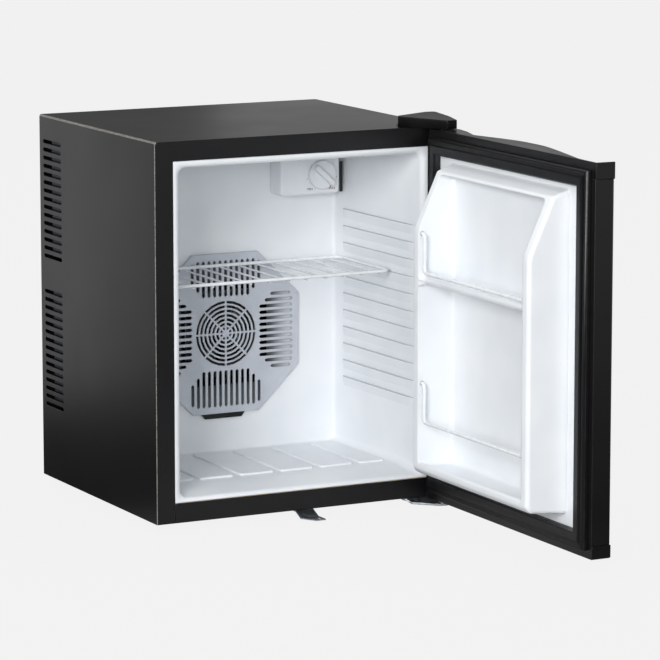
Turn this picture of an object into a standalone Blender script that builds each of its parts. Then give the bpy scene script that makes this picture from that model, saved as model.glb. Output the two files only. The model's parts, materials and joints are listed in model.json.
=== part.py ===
# Thermoelectric table-top refrigerator with its door open, in metres.
# X runs to the viewer's right, Y to the back and Z up. The origin is the centre of the
# base's underside. The door is drawn closed and hangs on an empty at the hinge pins,
# which stands turned by the angle at which the door rests open.

import math

import bmesh
import bpy
from mathutils import Matrix, Vector

# Cabinet: its depth is the cavity's, the foam's and the machine compartment's
cabinet_width = 0.400
cabinet_height = 0.470
cavity_depth = 0.226
foam_thickness = 0.055
compartment_depth = 0.072
sheet = 0.0010
fold_radius = 0.0030
frame_width = 0.0245
seat_gap = 0.0003
cut_reach = 0.006

# Side vents, two groups on each side
vent_rows = 15
vent_pitch = 0.01054
vent_height = 0.0046
vent_length = 0.0574
vent_rear_margin = 0.0114
vent_top_margin = 0.0334
vent_group_step = 0.1936

# Base: a front rail and a pan with a panel pressed down in its middle
rail_foot = 0.012
pan_wall = 0.012
pan_lift = 0.0015
panel_side_inset = 0.068
panel_front_inset = 0.040
panel_rear_inset = 0.034
panel_corner = 0.010
foot_radius = 0.0130
foot_height = 0.0130
foot_side_inset = 0.050
foot_end_inset = 0.0715

# Cavity liner
liner_wall = 0.0015
lip_width = 0.0072
lip_recess = 0.0004
lip_tip = 0.006
liner_flange = 0.0125
flange_corner = 0.0010
lip_roll = 0.0020
cavity_side_wall = 0.0336
cavity_draft = 0.0062
floor_level = 0.0345
floor_dip = 0.0045
floor_slope_length = 0.060
ceiling_wall = 0.0310
ceiling_draft = 0.0045
cavity_corner = 0.010
back_fillet = 0.0040

# Shelf ledges and floor pads of the liner
ledge_count = 11
ledge_pitch = 0.0220
ledge_from_ceiling = 0.0902
ledge_reach = 0.0037
ledge_drop = 0.0148
ledge_nose = 0.0018
ledge_front = 0.012
ledge_back_margin = 0.022
ledge_ramp = 0.005
ledge_front_ramp = 0.030
pad_count = 4
pad_pitch = 0.056
pad_width = 0.0465
pad_rise = 0.0025
pad_edge = 0.0015
pad_front = 0.072
pad_back_margin = 0.012
pad_side_margin = 0.0075

# Foam and the wall behind it
foam_side_gap = 0.0007
foam_front_gap = 0.0006
wing_depth = 0.040
wing_gap = 0.0005

# Cooling module, on one axis
cooler_height = 0.1893
cover_half = 0.1040
cover_chamfer = 0.0573
cover_height = 0.0060
cover_wall = 0.0020
cover_round = 0.0006
grille_radius = 0.0425
grille_rings = 7
grille_pitch = 0.0057
grille_slot = 0.0034
grille_spokes = 8
spoke_width = 0.0024
slot_count = 13
slot_pitch = 0.0079
slot_width = 0.0044
slot_from_grille = 0.0050
slot_margin = 0.0082
slot_step = 0.0080
end_slot_cut = 0.0030
outlet_width = 0.062
outlet_height = 0.0065
outlet_taper = 0.0050
outlet_offset = -0.0030
recess_side = 0.0120
recess_end = 0.0180
recess_clearance = 0.0020
channel_clearance = 0.0020
cold_fan_size = 0.080
cold_fan_depth = 0.0150
cold_fan_hub = 0.0165
cold_sink_size = 0.100
cold_sink_depth = 0.0244
cold_sink_base = 0.0060
cold_fin_count = 13
spacer_size = 0.0400
spacer_length = 0.0157
spacer_edge = 0.0006
module_size = 0.0400
module_thickness = 0.0040
hot_sink_size = 0.120
hot_sink_depth = 0.0354
hot_sink_base = 0.0080
hot_fin_count = 17
fin_thickness = 0.0014
hot_fan_size = 0.092
hot_fan_depth = 0.0200
hot_fan_hub = 0.0190
fan_clearance = 0.0015
fan_rim = 0.0020
fan_corner = 1.30
fan_sides = 32
rotor_inset = 0.0010
fan_blades = 7
blade_half = 0.0008
fan_struts = 4
strut_width = 0.0045
strut_depth = 0.0022

# Rear cover, supply and inlet
rear_inset = 0.0010
rear_slot_columns = 15
rear_slot_pitch = 0.0105
rear_slot_length = 0.050
rear_slot_width = 0.0045
rear_row_step = 0.055
rear_top_row = 0.070
board_size = (0.110, 0.070)
board_thickness = 0.0016
board_standoff = 0.006
board_from_side = 0.170
board_low = 0.018
board_post_inset = 0.008
board_post_radius = 0.003
transformer_size = (0.042, 0.026, 0.036)
transformer_place = (0.034, 0.015)
transformer_edge = 0.0015
inlet_size = (0.0480, 0.0280)
inlet_opening = (0.0270, 0.0200)
inlet_wall = 0.0025
inlet_corner = 0.0025
inlet_pin = (0.0020, 0.0040)
inlet_pin_recess = 0.006
inlet_pin_places = ((-0.007, -0.002), (0.007, -0.002), (0.0, 0.003))
inlet_flange = 0.0008
inlet_depth = 0.024
inlet_from_side = 0.080
inlet_height = 0.050

# Thermostat, from the cavity's side, ceiling and back wall
thermostat_width = 0.0850
thermostat_height = 0.0640
thermostat_side_gap = 0.0077
thermostat_ceiling_gap = 0.0055
thermostat_depth = 0.0300
thermostat_round = 0.0050
thermostat_edge = 0.0020
knob_from_right = 0.0263
knob_from_top = 0.0384
knob_radius = 0.0192
knob_disc = 0.0055
knob_grip_height = 0.0070
knob_grip_width = 0.0075
knob_edge = 0.0010
knob_shaft_radius = 0.0030
knob_shaft_length = 0.0080
knob_rest_angle = -43.0

# Wire shelf
shelf_wire = 0.0022
cross_wire = 0.0014
shelf_side_gap = 0.0030
shelf_front = 0.066
shelf_back_margin = 0.021
shelf_corner = 0.012
cross_pitch = 0.0262
shelf_on_ledge = 4

# Hinges: the axis, from the cabinet's side and from its front plane
hinge_inset = 0.015
hinge_ahead = 0.025
door_rest_angle = 90.0
hinge_plate = 0.0025
plate_left = 0.042
plate_right = 0.011
plate_back = 0.024
plate_nose = 0.009
hinge_step = 0.0040
hinge_step_run = 0.0060
hinge_boss_radius = 0.0064
pin_radius = 0.0030
pin_length = 0.0110
bush_radius = 0.0050
bush_clearance = 0.0004
bush_length = 0.0100
collar_radius = 0.0068
collar_thickness = 0.0006
hinge_cover_height = 0.0152
hinge_cover_fall = 0.0042
hinge_cover_wall = 0.0020
hinge_cover_draft = 0.0012
hinge_cover_left = 0.0690
hinge_cover_right = 0.0010
hinge_cover_back = 0.0360
hinge_cover_nose = 0.0410
hinge_cover_nose_left = 0.0220
hinge_cover_nose_right = 0.0060

# Tab under the front edge, which fixes the cabinet to furniture
tab_left = -0.0110
tab_right = 0.0140
tab_thickness = 0.0015
tab_root = 0.020
tab_slope = 0.0140
tab_drop = 0.0062
tab_reach = 0.0340
tab_end_left = 0.0010
tab_hole = 0.0022
tab_hole_margin = 0.0060

# Door, drawn closed
door_gap = 0.010
door_edge_depth = 0.026
door_bow = 0.0075
door_low = 0.0012
door_top_margin = 0.0008
top_cap_height = 0.0200
bottom_cap_height = 0.0160
cap_stand = 0.0012
skin = 0.0012
skin_return = 0.0100
skin_corner = 0.0030
crown_end = 0.020
crown_edge = 0.0025
crown_depth = 0.0310
crown_slope = 0.35
end_flange = 0.0025
hinge_land = 0.025
hinge_land_ramp = 0.045

# Door liner: its heights are counted from the door's top and from its low shelf
door_flange = 0.0015
door_flange_margin = 0.0118
dyke_margin = 0.0590
dyke_width = 0.0140
dyke_nose = 0.0440
dyke_top_nose = 0.0120
dyke_bottom = 0.0500
dyke_top_margin = 0.0372
dyke_top_slope = 0.0080
dyke_bend_drop = 0.0780
dyke_corner = 0.0100
dyke_edge_round = 0.0050
pocket_floor = -0.0060
pocket_fillet = 0.0070
pocket_top_wall = 0.0115
bottom_shelf = 0.0585
bottom_lip = 0.0055
lip_thickness = 0.0070
mid_shelf_drop = 0.1450
mid_shelf_thickness = 0.0035
mid_shelf_bar = 0.0050
mid_shelf_nose = 0.0385
bar_flare = 0.0030

# Retaining rods of the door
rod_radius = 0.0025
rod_clearance = 0.0004
rod_depth = 0.0380
rod_rise = 0.0480
upper_rod_above = 0.0040
lower_rod_above = 0.0510
rod_inset = 0.0055
rod_grip = 0.0045
rod_bend = 0.0050

# Gasket of the door
gasket_margin = 0.0100
gasket_width = 0.0210
gasket_height = 0.0090

# What follows from the sizes above
foam_back = cavity_depth + foam_thickness
cabinet_depth = foam_back + compartment_depth
front = -cabinet_depth / 2
rear = cabinet_depth / 2
half_width = cabinet_width / 2
inside_low = pan_lift + sheet + seat_gap
inside_high = cabinet_height - sheet - seat_gap
foam_half = half_width - 2 * sheet - seat_gap - foam_side_gap
cavity_front_half = half_width - cavity_side_wall
cavity_back_half = cavity_front_half - cavity_draft
floor_front = floor_level - floor_dip
ceiling_front = cabinet_height - ceiling_wall
ceiling_back = ceiling_front - ceiling_draft
top_ledge = ceiling_back - ledge_from_ceiling
cover_face = cavity_depth - cover_height
cold_fan_front = cover_face + cover_wall + seat_gap
cold_sink_front = cold_fan_front + cold_fan_depth + seat_gap
cold_sink_back = cold_sink_front + cold_sink_depth
spacer_front = cold_sink_back + seat_gap
spacer_back = spacer_front + spacer_length
module_back = spacer_back + seat_gap + module_thickness
hot_sink_front = module_back + seat_gap
hot_sink_back = hot_sink_front + hot_sink_depth
hot_fan_front = hot_sink_back + seat_gap
recess_half_width = cold_sink_size / 2 + recess_side
recess_half_height = cold_sink_size / 2 + recess_end
recess_depth = cold_sink_back + recess_clearance
channel_half = max(spacer_size, module_size) / 2 + channel_clearance
thermostat_right = cavity_back_half - thermostat_side_gap
thermostat_top = ceiling_back - thermostat_ceiling_gap
knob_centre = (thermostat_right - knob_from_right, thermostat_top - knob_from_top)
shelf_half = cavity_back_half - shelf_side_gap
hinge_x = half_width - hinge_inset
hinge_y = front - hinge_ahead
door_high = cabinet_height - door_top_margin
dyke_half = half_width - dyke_margin
dyke_top = door_high - dyke_top_margin
mid_shelf_under = dyke_top - mid_shelf_drop
mid_shelf_floor = mid_shelf_under + mid_shelf_thickness
upper_rod = mid_shelf_under + 2 * mid_shelf_bar + upper_rod_above
lower_rod = bottom_shelf + bottom_lip + lower_rod_above
vent_tops = (cabinet_height - vent_top_margin, cabinet_height - vent_top_margin - vent_group_step)


def at(depth):
    """Y of a plane this far behind the cabinet's front plane."""
    return front + depth


# The scene, its collections and its materials

for old in list(bpy.data.objects):
    bpy.data.objects.remove(old)
parts = bpy.data.collections.new("thermoelectric_refrigerator")
helpers = bpy.data.collections.new("cutters")
bpy.context.scene.collection.children.link(parts)
bpy.context.scene.collection.children.link(helpers)


def make_material(name, colour, roughness, metallic=0.0):
    material = bpy.data.materials.new(name)
    material.use_nodes = True
    shader = material.node_tree.nodes["Principled BSDF"]
    shader.inputs["Base Color"].default_value = (*colour, 1.0)
    shader.inputs["Roughness"].default_value = roughness
    shader.inputs["Metallic"].default_value = metallic
    material.diffuse_color = (*colour, 1.0)
    return material


black_sheet = make_material("black_coated_steel", (0.018, 0.018, 0.020), 0.42)
black_plastic = make_material("black_plastic", (0.012, 0.012, 0.014), 0.35)
white_plastic = make_material("white_polystyrene", (0.80, 0.82, 0.84), 0.30)
white_wire = make_material("white_coated_wire", (0.78, 0.80, 0.82), 0.28)
silver_plastic = make_material("silver_plastic", (0.42, 0.44, 0.48), 0.38)
foam_yellow = make_material("polyurethane_foam", (0.72, 0.60, 0.36), 0.90)
zinc = make_material("zinc_plated_steel", (0.58, 0.60, 0.62), 0.32, 1.0)
aluminium = make_material("aluminium", (0.66, 0.67, 0.68), 0.34, 1.0)
rubber = make_material("black_rubber", (0.016, 0.016, 0.018), 0.55)
nylon = make_material("nylon", (0.70, 0.70, 0.66), 0.45)
ceramic = make_material("white_ceramic", (0.82, 0.82, 0.78), 0.40)
board_green = make_material("circuit_board", (0.03, 0.16, 0.07), 0.45)


# Making, cutting and joining meshes


def place(name, mesh, material, parent=None):
    """A part of the object; a part of the door is drawn closed and takes the pins' empty as parent."""
    made = bpy.data.objects.new(name, mesh)
    made.data.materials.clear()
    made.data.materials.append(material)
    parts.objects.link(made)
    if parent is not None:
        made.parent = parent
        made.location = -Vector((hinge_x, hinge_y, 0))
    return made


def helper(name, mesh, parent=None):
    made = bpy.data.objects.new(name, mesh)
    helpers.objects.link(made)
    made.hide_render = True
    made.display_type = "WIRE"
    if parent is not None:
        made.parent = parent
        made.location = -Vector((hinge_x, hinge_y, 0))
    return made


def finished(work, name):
    """The mesh of a bmesh whose faces all point out."""
    bmesh.ops.recalc_face_normals(work, faces=work.faces)
    if work.calc_volume(signed=True) < 0:
        bmesh.ops.reverse_faces(work, faces=work.faces)
    mesh = bpy.data.meshes.new(name)
    work.to_mesh(mesh)
    work.free()
    return mesh


def boolean(target, other, operation):
    modifier = target.modifiers.new(operation.title() + "_" + other.name, "BOOLEAN")
    modifier.operation = operation
    modifier.object = other
    modifier.solver = "EXACT"


def cut(target, name, mesh, parent=None):
    boolean(target, helper(name, mesh, parent), "DIFFERENCE")


def join(target, name, mesh, parent=None):
    boolean(target, helper(name, mesh, parent), "UNION")


def bevel(target, width, segments=2, angle=35.0):
    modifier = target.modifiers.new("Bevel", "BEVEL")
    modifier.width = width
    modifier.segments = segments
    modifier.limit_method = "ANGLE"
    modifier.angle_limit = math.radians(angle)


def smooth(target, angle=35.0):
    target.data.shade_smooth()
    target.data.set_sharp_from_angle(angle=math.radians(angle))


def boxes(name, spans):
    """One mesh of boxes, each given by its lowest and highest corner."""
    work = bmesh.new()
    for low, high in spans:
        low, high = Vector(low), Vector(high)
        size = Matrix.Diagonal((*(high - low), 1.0))
        bmesh.ops.create_cube(work, size=1.0, matrix=Matrix.Translation((low + high) / 2) @ size)
    return finished(work, name)


turns = {
    "x": Matrix.Rotation(math.radians(90), 4, "Y"),
    "y": Matrix.Rotation(math.radians(90), 4, "X"),
    "z": Matrix.Identity(4),
}


def rods(name, spans, radius, axis, sides=16):
    """One mesh of round bars; each span is a centre and a length along the axis."""
    work = bmesh.new()
    for centre, length in spans:
        bmesh.ops.create_cone(
            work, cap_ends=True, segments=sides, radius1=radius, radius2=radius,
            depth=length, matrix=Matrix.Translation(centre) @ turns[axis],
        )
    return finished(work, name)


# A flat outline's own X and Y, and the way it is thickened, for each plane that it may lie on
planes = {
    "xy": Matrix(((1, 0, 0, 0), (0, 1, 0, 0), (0, 0, 1, 0), (0, 0, 0, 1))),
    "xz": Matrix(((1, 0, 0, 0), (0, 0, -1, 0), (0, 1, 0, 0), (0, 0, 0, 1))),
    "yz": Matrix(((0, 0, 1, 0), (1, 0, 0, 0), (0, 1, 0, 0), (0, 0, 0, 1))),
}


def plate(name, outlines, plane, low, high):
    """A flat outline, with the others as holes in it, thickened from low to high across its plane."""
    curve = bpy.data.curves.new(name + "_outline", "CURVE")
    curve.dimensions = "2D"
    curve.fill_mode = "BOTH"
    curve.extrude = (high - low) / 2
    for outline in outlines:
        spline = curve.splines.new("POLY")
        spline.points.add(len(outline) - 1)
        for point, (u, v) in zip(spline.points, outline):
            point.co = (u, v, 0, 1)
        spline.use_cyclic_u = True
    drawn = bpy.data.objects.new(curve.name, curve)
    bpy.context.scene.collection.objects.link(drawn)
    bpy.context.view_layer.update()
    graph = bpy.context.evaluated_depsgraph_get()
    mesh = bpy.data.meshes.new_from_object(drawn.evaluated_get(graph))
    bpy.data.objects.remove(drawn)
    middle = (low + high) / 2
    work = bmesh.new()
    work.from_mesh(mesh)
    bpy.data.meshes.remove(mesh)
    bmesh.ops.remove_doubles(work, verts=work.verts, dist=1e-6)
    across = -middle if plane == "xz" else middle
    work.transform(planes[plane] @ Matrix.Translation((0, 0, across)))
    return finished(work, name)


def loft(name, rings, closed=False):
    """Faces between rings of equally many points, with a cap on each end or, closed, from last to first."""
    work = bmesh.new()
    rows = [[work.verts.new(point) for point in ring] for ring in rings]
    pairs = list(zip(rows, rows[1:]))
    if closed:
        pairs.append((rows[-1], rows[0]))
    for one, two in pairs:
        for i in range(len(one)):
            j = (i + 1) % len(one)
            work.faces.new((one[i], one[j], two[j], two[i]))
    if not closed:
        work.faces.new(rows[0])
        work.faces.new(rows[-1])
    return finished(work, name)


def wire(name, points, radius, closed=False):
    """A round wire along the points."""
    curve = bpy.data.curves.new(name + "_path", "CURVE")
    curve.dimensions = "3D"
    curve.bevel_depth = radius
    curve.bevel_resolution = 2
    curve.use_fill_caps = True
    spline = curve.splines.new("POLY")
    spline.points.add(len(points) - 1)
    for point, place_of in zip(spline.points, points):
        point.co = (*place_of, 1)
    spline.use_cyclic_u = closed
    drawn = bpy.data.objects.new(curve.name, curve)
    bpy.context.scene.collection.objects.link(drawn)
    bpy.context.view_layer.update()
    graph = bpy.context.evaluated_depsgraph_get()
    mesh = bpy.data.meshes.new_from_object(drawn.evaluated_get(graph))
    bpy.data.objects.remove(drawn)
    work = bmesh.new()
    work.from_mesh(mesh)
    bpy.data.meshes.remove(mesh)
    bmesh.ops.remove_doubles(work, verts=work.verts, dist=1e-6)
    return finished(work, name)


# Outlines


def arc(centre, radius, start, stop, steps):
    """Points of an arc, ends included, with the angles in degrees."""
    points = []
    for i in range(steps + 1):
        angle = math.radians(start + (stop - start) * i / steps)
        points.append((centre[0] + radius * math.cos(angle), centre[1] + radius * math.sin(angle)))
    return points


def rectangle(u0, v0, u1, v1):
    return [(u0, v0), (u1, v0), (u1, v1), (u0, v1)]


def rounded(u0, v0, u1, v1, radius, steps=4):
    """A rectangle with round corners, anticlockwise from its lower left."""
    points = arc((u0 + radius, v0 + radius), radius, 180, 270, steps)
    points += arc((u1 - radius, v0 + radius), radius, 270, 360, steps)
    points += arc((u1 - radius, v1 - radius), radius, 0, 90, steps)
    points += arc((u0 + radius, v1 - radius), radius, 90, 180, steps)
    return points


def slot(u0, u1, v, width, steps=4):
    """A slot with round ends along the first direction."""
    radius = width / 2
    points = arc((u1 - radius, v), radius, -90, 90, steps)
    return points + arc((u0 + radius, v), radius, 90, 270, steps)


def swapped(outline):
    return [(v, u) for u, v in outline]


def moved(outline, u, v):
    return [(a + u, b + v) for a, b in outline]


def round_corner(before, corner, after, radius, steps=4):
    """An arc in the place of a corner of a polygon."""
    corner = Vector(corner)
    back = (Vector(before) - corner).normalized()
    onward = (Vector(after) - corner).normalized()
    half = back.angle(onward) / 2
    centre = corner + (back + onward).normalized() * radius / math.sin(half)
    first = corner + back * radius / math.tan(half) - centre
    last = corner + onward * radius / math.tan(half) - centre
    points = []
    for i in range(steps + 1):
        spoke = first.lerp(last, i / steps).normalized() * radius
        points.append(tuple(centre + spoke))
    return points


# Outer shell: one sheet folded over the top and sides and in at the front


def vent_heights():
    for top in vent_tops:
        for row in range(vent_rows):
            yield top - row * vent_pitch


def make_shell():
    outer = arc((half_width - fold_radius, cabinet_height - fold_radius), fold_radius, 0, 90, 3)
    outer += arc((fold_radius - half_width, cabinet_height - fold_radius), fold_radius, 90, 180, 3)
    outer = [(half_width, 0)] + outer + [(-half_width, 0)]
    shell = place("outer_shell", plate("outer_shell", [outer], "xz", front, rear), black_sheet)
    inner_radius = fold_radius - sheet
    inner_half = half_width - sheet
    inner_top = cabinet_height - sheet
    inner = arc((inner_half - inner_radius, inner_top - inner_radius), inner_radius, 0, 90, 3)
    inner += arc((inner_radius - inner_half, inner_top - inner_radius), inner_radius, 90, 180, 3)
    inner = [(inner_half, -cut_reach)] + inner + [(-inner_half, -cut_reach)]
    cut(shell, "shell_hollow", plate("shell_hollow", [inner], "xz", front + sheet, rear + cut_reach))
    opening = ((frame_width - half_width, front - cut_reach, -cut_reach),
               (half_width - frame_width, front + cut_reach, cabinet_height - frame_width))
    cut(shell, "shell_opening", boxes("shell_opening", [opening]))
    vent_back = rear - vent_rear_margin
    rows = [slot(vent_back - vent_length, vent_back, z, vent_height, 2) for z in vent_heights()]
    vents = [plate("vent", [row], "yz", -half_width - cut_reach, half_width + cut_reach) for row in rows]
    cut(shell, "shell_vents", merged("shell_vents", vents))
    smooth(shell)


def merged(name, meshes):
    """One mesh of several closed ones."""
    work = bmesh.new()
    for mesh in meshes:
        work.from_mesh(mesh)
        bpy.data.meshes.remove(mesh)
    both = bpy.data.meshes.new(name)
    work.to_mesh(both)
    work.free()
    return both


def make_base():
    rail_half = half_width - frame_width - seat_gap
    rail_top = frame_width - seat_gap
    rail = [(front, 0), (at(rail_foot), 0), (at(rail_foot), sheet), (at(sheet), sheet),
            (at(sheet), rail_top), (front, rail_top)]
    place("front_bottom_rail", plate("front_bottom_rail", [rail], "yz", -rail_half, rail_half), black_sheet)
    pan_half = half_width - sheet - seat_gap
    field = pan_lift + sheet
    section = [(-pan_half, pan_lift), (pan_half, pan_lift), (pan_half, pan_wall),
               (pan_half - sheet, pan_wall), (pan_half - sheet, field), (sheet - pan_half, field),
               (sheet - pan_half, pan_wall), (-pan_half, pan_wall)]
    pan_mesh = plate("base_pan", [section], "xz", at(rail_foot) + seat_gap, rear - rear_inset)
    pan = place("base_pan", pan_mesh, zinc)
    join(pan, "pan_panel", panel_mesh("pan_panel", 0, pan_lift + sheet / 2, 0))
    cut(pan, "pan_panel_hollow", panel_mesh("pan_panel_hollow", sheet, field + cut_reach, sheet * 0.2))
    for side, x in (("left", foot_side_inset - half_width), ("right", half_width - foot_side_inset)):
        for end, y in (("front", front + foot_end_inset), ("rear", rear - foot_end_inset)):
            name = f"foot_{end}_{side}"
            foot = place(name, foot_mesh(name, x, y), rubber)
            smooth(foot)


def panel_mesh(name, low, high, inset):
    """A block with sides that slope out as they rise: the panel pressed down in the pan, or its hollow."""
    x = half_width - panel_side_inset
    rings = []
    for z, grow in ((low, -inset), (high, high - low - inset)):
        outline = rounded(-x - grow, at(panel_front_inset) - grow, x + grow, rear - panel_rear_inset + grow,
                          panel_corner, 3)
        rings.append([(u, v, z) for u, v in outline])
    return loft(name, rings)


def foot_mesh(name, x, y):
    """A foot turned from its profile, wide at the base pan."""
    levels = [(pan_lift - seat_gap, 1.0), (-foot_height * 0.55, 0.96), (-foot_height * 0.92, 0.86),
              (-foot_height, 0.78)]
    rings = []
    for z, share in levels:
        rings.append([(x + u, y + v, z) for u, v in arc((0, 0), foot_radius * share, 0, 330, 11)])
    return loft(name, rings)


# Cavity liner


def cavity_half(depth):
    return cavity_front_half + (cavity_back_half - cavity_front_half) * depth / cavity_depth


def cavity_ring(depth, half, low, high, radius):
    return [(x, at(depth), z) for x, z in rounded(-half, low, half, high, radius)]


def cavity_rings(grow):
    """Rings of the cavity from its back wall to its lip, each moved outwards by grow."""
    slope_end = floor_slope_length
    fillet = back_fillet
    rings = []
    for depth, inset in ((0, fillet), (0.3 * fillet, 0.3 * fillet), (fillet, 0)):
        half = cavity_back_half - inset + grow
        low, high = floor_level + inset - grow, ceiling_back - inset + grow
        place_of = cavity_depth - depth + grow * (inset > 0)
        rings.append(cavity_ring(place_of, half, low, high, cavity_corner + grow))
    share = slope_end / cavity_depth
    ceiling = ceiling_front + (ceiling_back - ceiling_front) * share
    rings.append(cavity_ring(slope_end, cavity_half(slope_end) + grow, floor_level - grow, ceiling + grow,
                             cavity_corner + grow))
    rings.append(cavity_ring(lip_tip, cavity_half(lip_tip) + grow, floor_front - grow, ceiling_front + grow,
                             cavity_corner + grow))
    return rings


def make_liner():
    lip_outer = half_width - frame_width - seat_gap
    lip_low = frame_width + seat_gap
    lip_high = cabinet_height - frame_width - seat_gap
    behind = sheet + seat_gap
    edge = lip_outer + liner_flange
    small = flange_corner
    bead = lip_width - lip_roll
    rings = cavity_rings(0)
    rings.append(cavity_ring(lip_recess, lip_outer - bead, lip_low + bead, lip_high - bead, cavity_corner))
    rings.append(cavity_ring(lip_recess, lip_outer, lip_low, lip_high, small))
    rings.append(cavity_ring(behind, lip_outer, lip_low, lip_high, small))
    rings.append(cavity_ring(behind, edge, lip_low - liner_flange, lip_high + liner_flange, small))
    flange_low, flange_high = lip_low - liner_flange, lip_high + liner_flange
    rings.append(cavity_ring(behind + liner_wall, edge, flange_low, flange_high, small))
    rings.append(cavity_ring(behind + liner_wall, lip_outer, lip_low, lip_high, cavity_corner))
    rings += reversed(cavity_rings(liner_wall))
    liner = place("cavity_liner", loft("cavity_liner", rings), white_plastic)
    join(liner, "shelf_ledges", merged("shelf_ledges", list(ledge_meshes())))
    join(liner, "floor_pads", merged("floor_pads", list(pad_meshes())))
    hole = ((-recess_half_width, at(cavity_depth) - cut_reach, cooler_height - recess_half_height),
            (recess_half_width, at(cavity_depth) + cut_reach, cooler_height + recess_half_height))
    cut(liner, "liner_recess_hole", boxes("liner_recess_hole", [hole]))
    smooth(liner)


def ledge_level(number):
    return top_ledge - (number - 1) * ledge_pitch


def ledge_meshes():
    """Ledges that a shelf slides in on: flat above, and sloping back to the wall below."""
    sunk = liner_wall / 2
    back = cavity_depth - ledge_back_margin
    stations = ((ledge_front, 0.1), (ledge_front + ledge_front_ramp, 1), (back - ledge_ramp, 1), (back, 0.25))
    for number in range(1, ledge_count + 1):
        level = ledge_level(number)
        for side in (-1, 1):
            rings = []
            for depth, lift in stations:
                wall = cavity_half(depth)
                nose = wall - (wall - cavity_back_half + ledge_reach) * lift
                section = [(wall + sunk, level), (nose, level), (nose, level - ledge_nose),
                           (wall + sunk, level - ledge_drop)]
                rings.append([(side * x, at(depth), z) for x, z in section])
            yield loft("ledge", rings)


def pad_meshes():
    """Raised pads on the cavity's floor, with grooves between them for the drips."""
    sunk = liner_wall / 2
    spans = []
    first = -(pad_count - 1) / 2 * pad_pitch
    for i in range(pad_count):
        centre = first + i * pad_pitch
        spans.append((centre - pad_width / 2, centre + pad_width / 2))
    groove = pad_pitch - pad_width
    inner = -first + pad_width / 2 + groove
    outer = cavity_back_half - pad_side_margin
    spans += [(inner, outer), (-outer, -inner)]
    for left, right in spans:
        rings = []
        for z, inset in ((floor_level - sunk, 0), (floor_level + pad_rise - pad_edge, 0),
                         (floor_level + pad_rise, pad_edge)):
            outline = rounded(left + inset, at(pad_front) + inset, right - inset,
                              at(cavity_depth - pad_back_margin) - inset, 2 * pad_edge, 2)
            rings.append([(x, y, z) for x, y in outline])
        yield loft("pad", rings)


def make_foam():
    flange_back = sheet + seat_gap + liner_wall + seat_gap
    block = ((-foam_half, at(flange_back), inside_low), (foam_half, at(foam_back), inside_high))
    foam = place("cabinet_foam", boxes("cabinet_foam", [block]), foam_yellow)
    rings = cavity_rings(liner_wall + seat_gap)
    mouth = frame_width - 2 * foam_front_gap
    outline = rounded(mouth - half_width, mouth, half_width - mouth, cabinet_height - mouth, cavity_corner)
    rings.append([(x, at(flange_back + foam_front_gap), z) for x, z in outline])
    rings.append([(x, at(-cut_reach), z) for x, z in outline])
    cut(foam, "foam_cavity", loft("foam_cavity", rings))
    half_w, half_h = recess_half_width + liner_wall, recess_half_height + liner_wall
    recess = ((-half_w, at(cavity_depth) - cut_reach, cooler_height - half_h),
              (half_w, at(recess_depth), cooler_height + half_h))
    cut(foam, "foam_recess", boxes("foam_recess", [recess]))
    channel = ((-channel_half, at(recess_depth) - cut_reach, cooler_height - channel_half),
               (channel_half, at(foam_back) + cut_reach, cooler_height + channel_half))
    cut(foam, "foam_channel", boxes("foam_channel", [channel]))


def make_compartment_wall():
    """The sheet behind the foam, with wings bent back along the side vents."""
    outline = rectangle(-foam_half, inside_low, foam_half, inside_high)
    hole = rectangle(-channel_half, cooler_height - channel_half, channel_half, cooler_height + channel_half)
    start = at(foam_back) + seat_gap
    wall = place("compartment_wall",
                 plate("compartment_wall", [outline, hole], "xz", start, start + sheet), zinc)
    outer = foam_half - wing_gap
    wings = []
    for top in vent_tops:
        low, high = top - (vent_rows - 1.5) * vent_pitch, top + vent_pitch
        wings.append(((-outer, start + sheet / 2, low), (sheet - outer, start + wing_depth, high)))
        wings.append(((outer - sheet, start + sheet / 2, low), (outer, start + wing_depth, high)))
    join(wall, "wall_wings", boxes("wall_wings", wings))


# Fan cover: a shallow tray with a ring grille and four fields of slots


def octagon(half, chamfer):
    flat = half - chamfer
    return [(-flat, -half), (flat, -half), (half, -flat), (half, flat),
            (flat, half), (-flat, half), (-half, flat), (-half, -flat)]


def ring_slots():
    """Arc slots of the grille, ring by ring, with a spoke between neighbours."""
    for ring in range(grille_rings):
        outer = grille_radius - ring * grille_pitch
        inner = outer - grille_slot
        steps = 3 if ring < 3 else 2
        for sector in range(grille_spokes):
            start = 360 / grille_spokes * sector
            stop = start + 360 / grille_spokes
            outer_turn = math.degrees(math.asin(spoke_width / 2 / outer))
            inner_turn = math.degrees(math.asin(spoke_width / 2 / inner))
            outline = arc((0, 0), outer, start + outer_turn, stop - outer_turn, steps)
            yield outline + arc((0, 0), inner, stop - inner_turn, start + inner_turn, steps)


def field_slots():
    """One field of parallel slots, to the right of the grille; the outermost slots are shorter."""
    middle = (slot_count - 1) / 2
    for i in range(slot_count):
        from_end = min(i, slot_count - 1 - i)
        inner = grille_radius + slot_from_grille + slot_step * max(0, 2 - from_end)
        outer = cover_half - slot_margin - (end_slot_cut if from_end == 0 else 0)
        yield slot(inner, outer, (i - middle) * slot_pitch, slot_width, 2)


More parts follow.
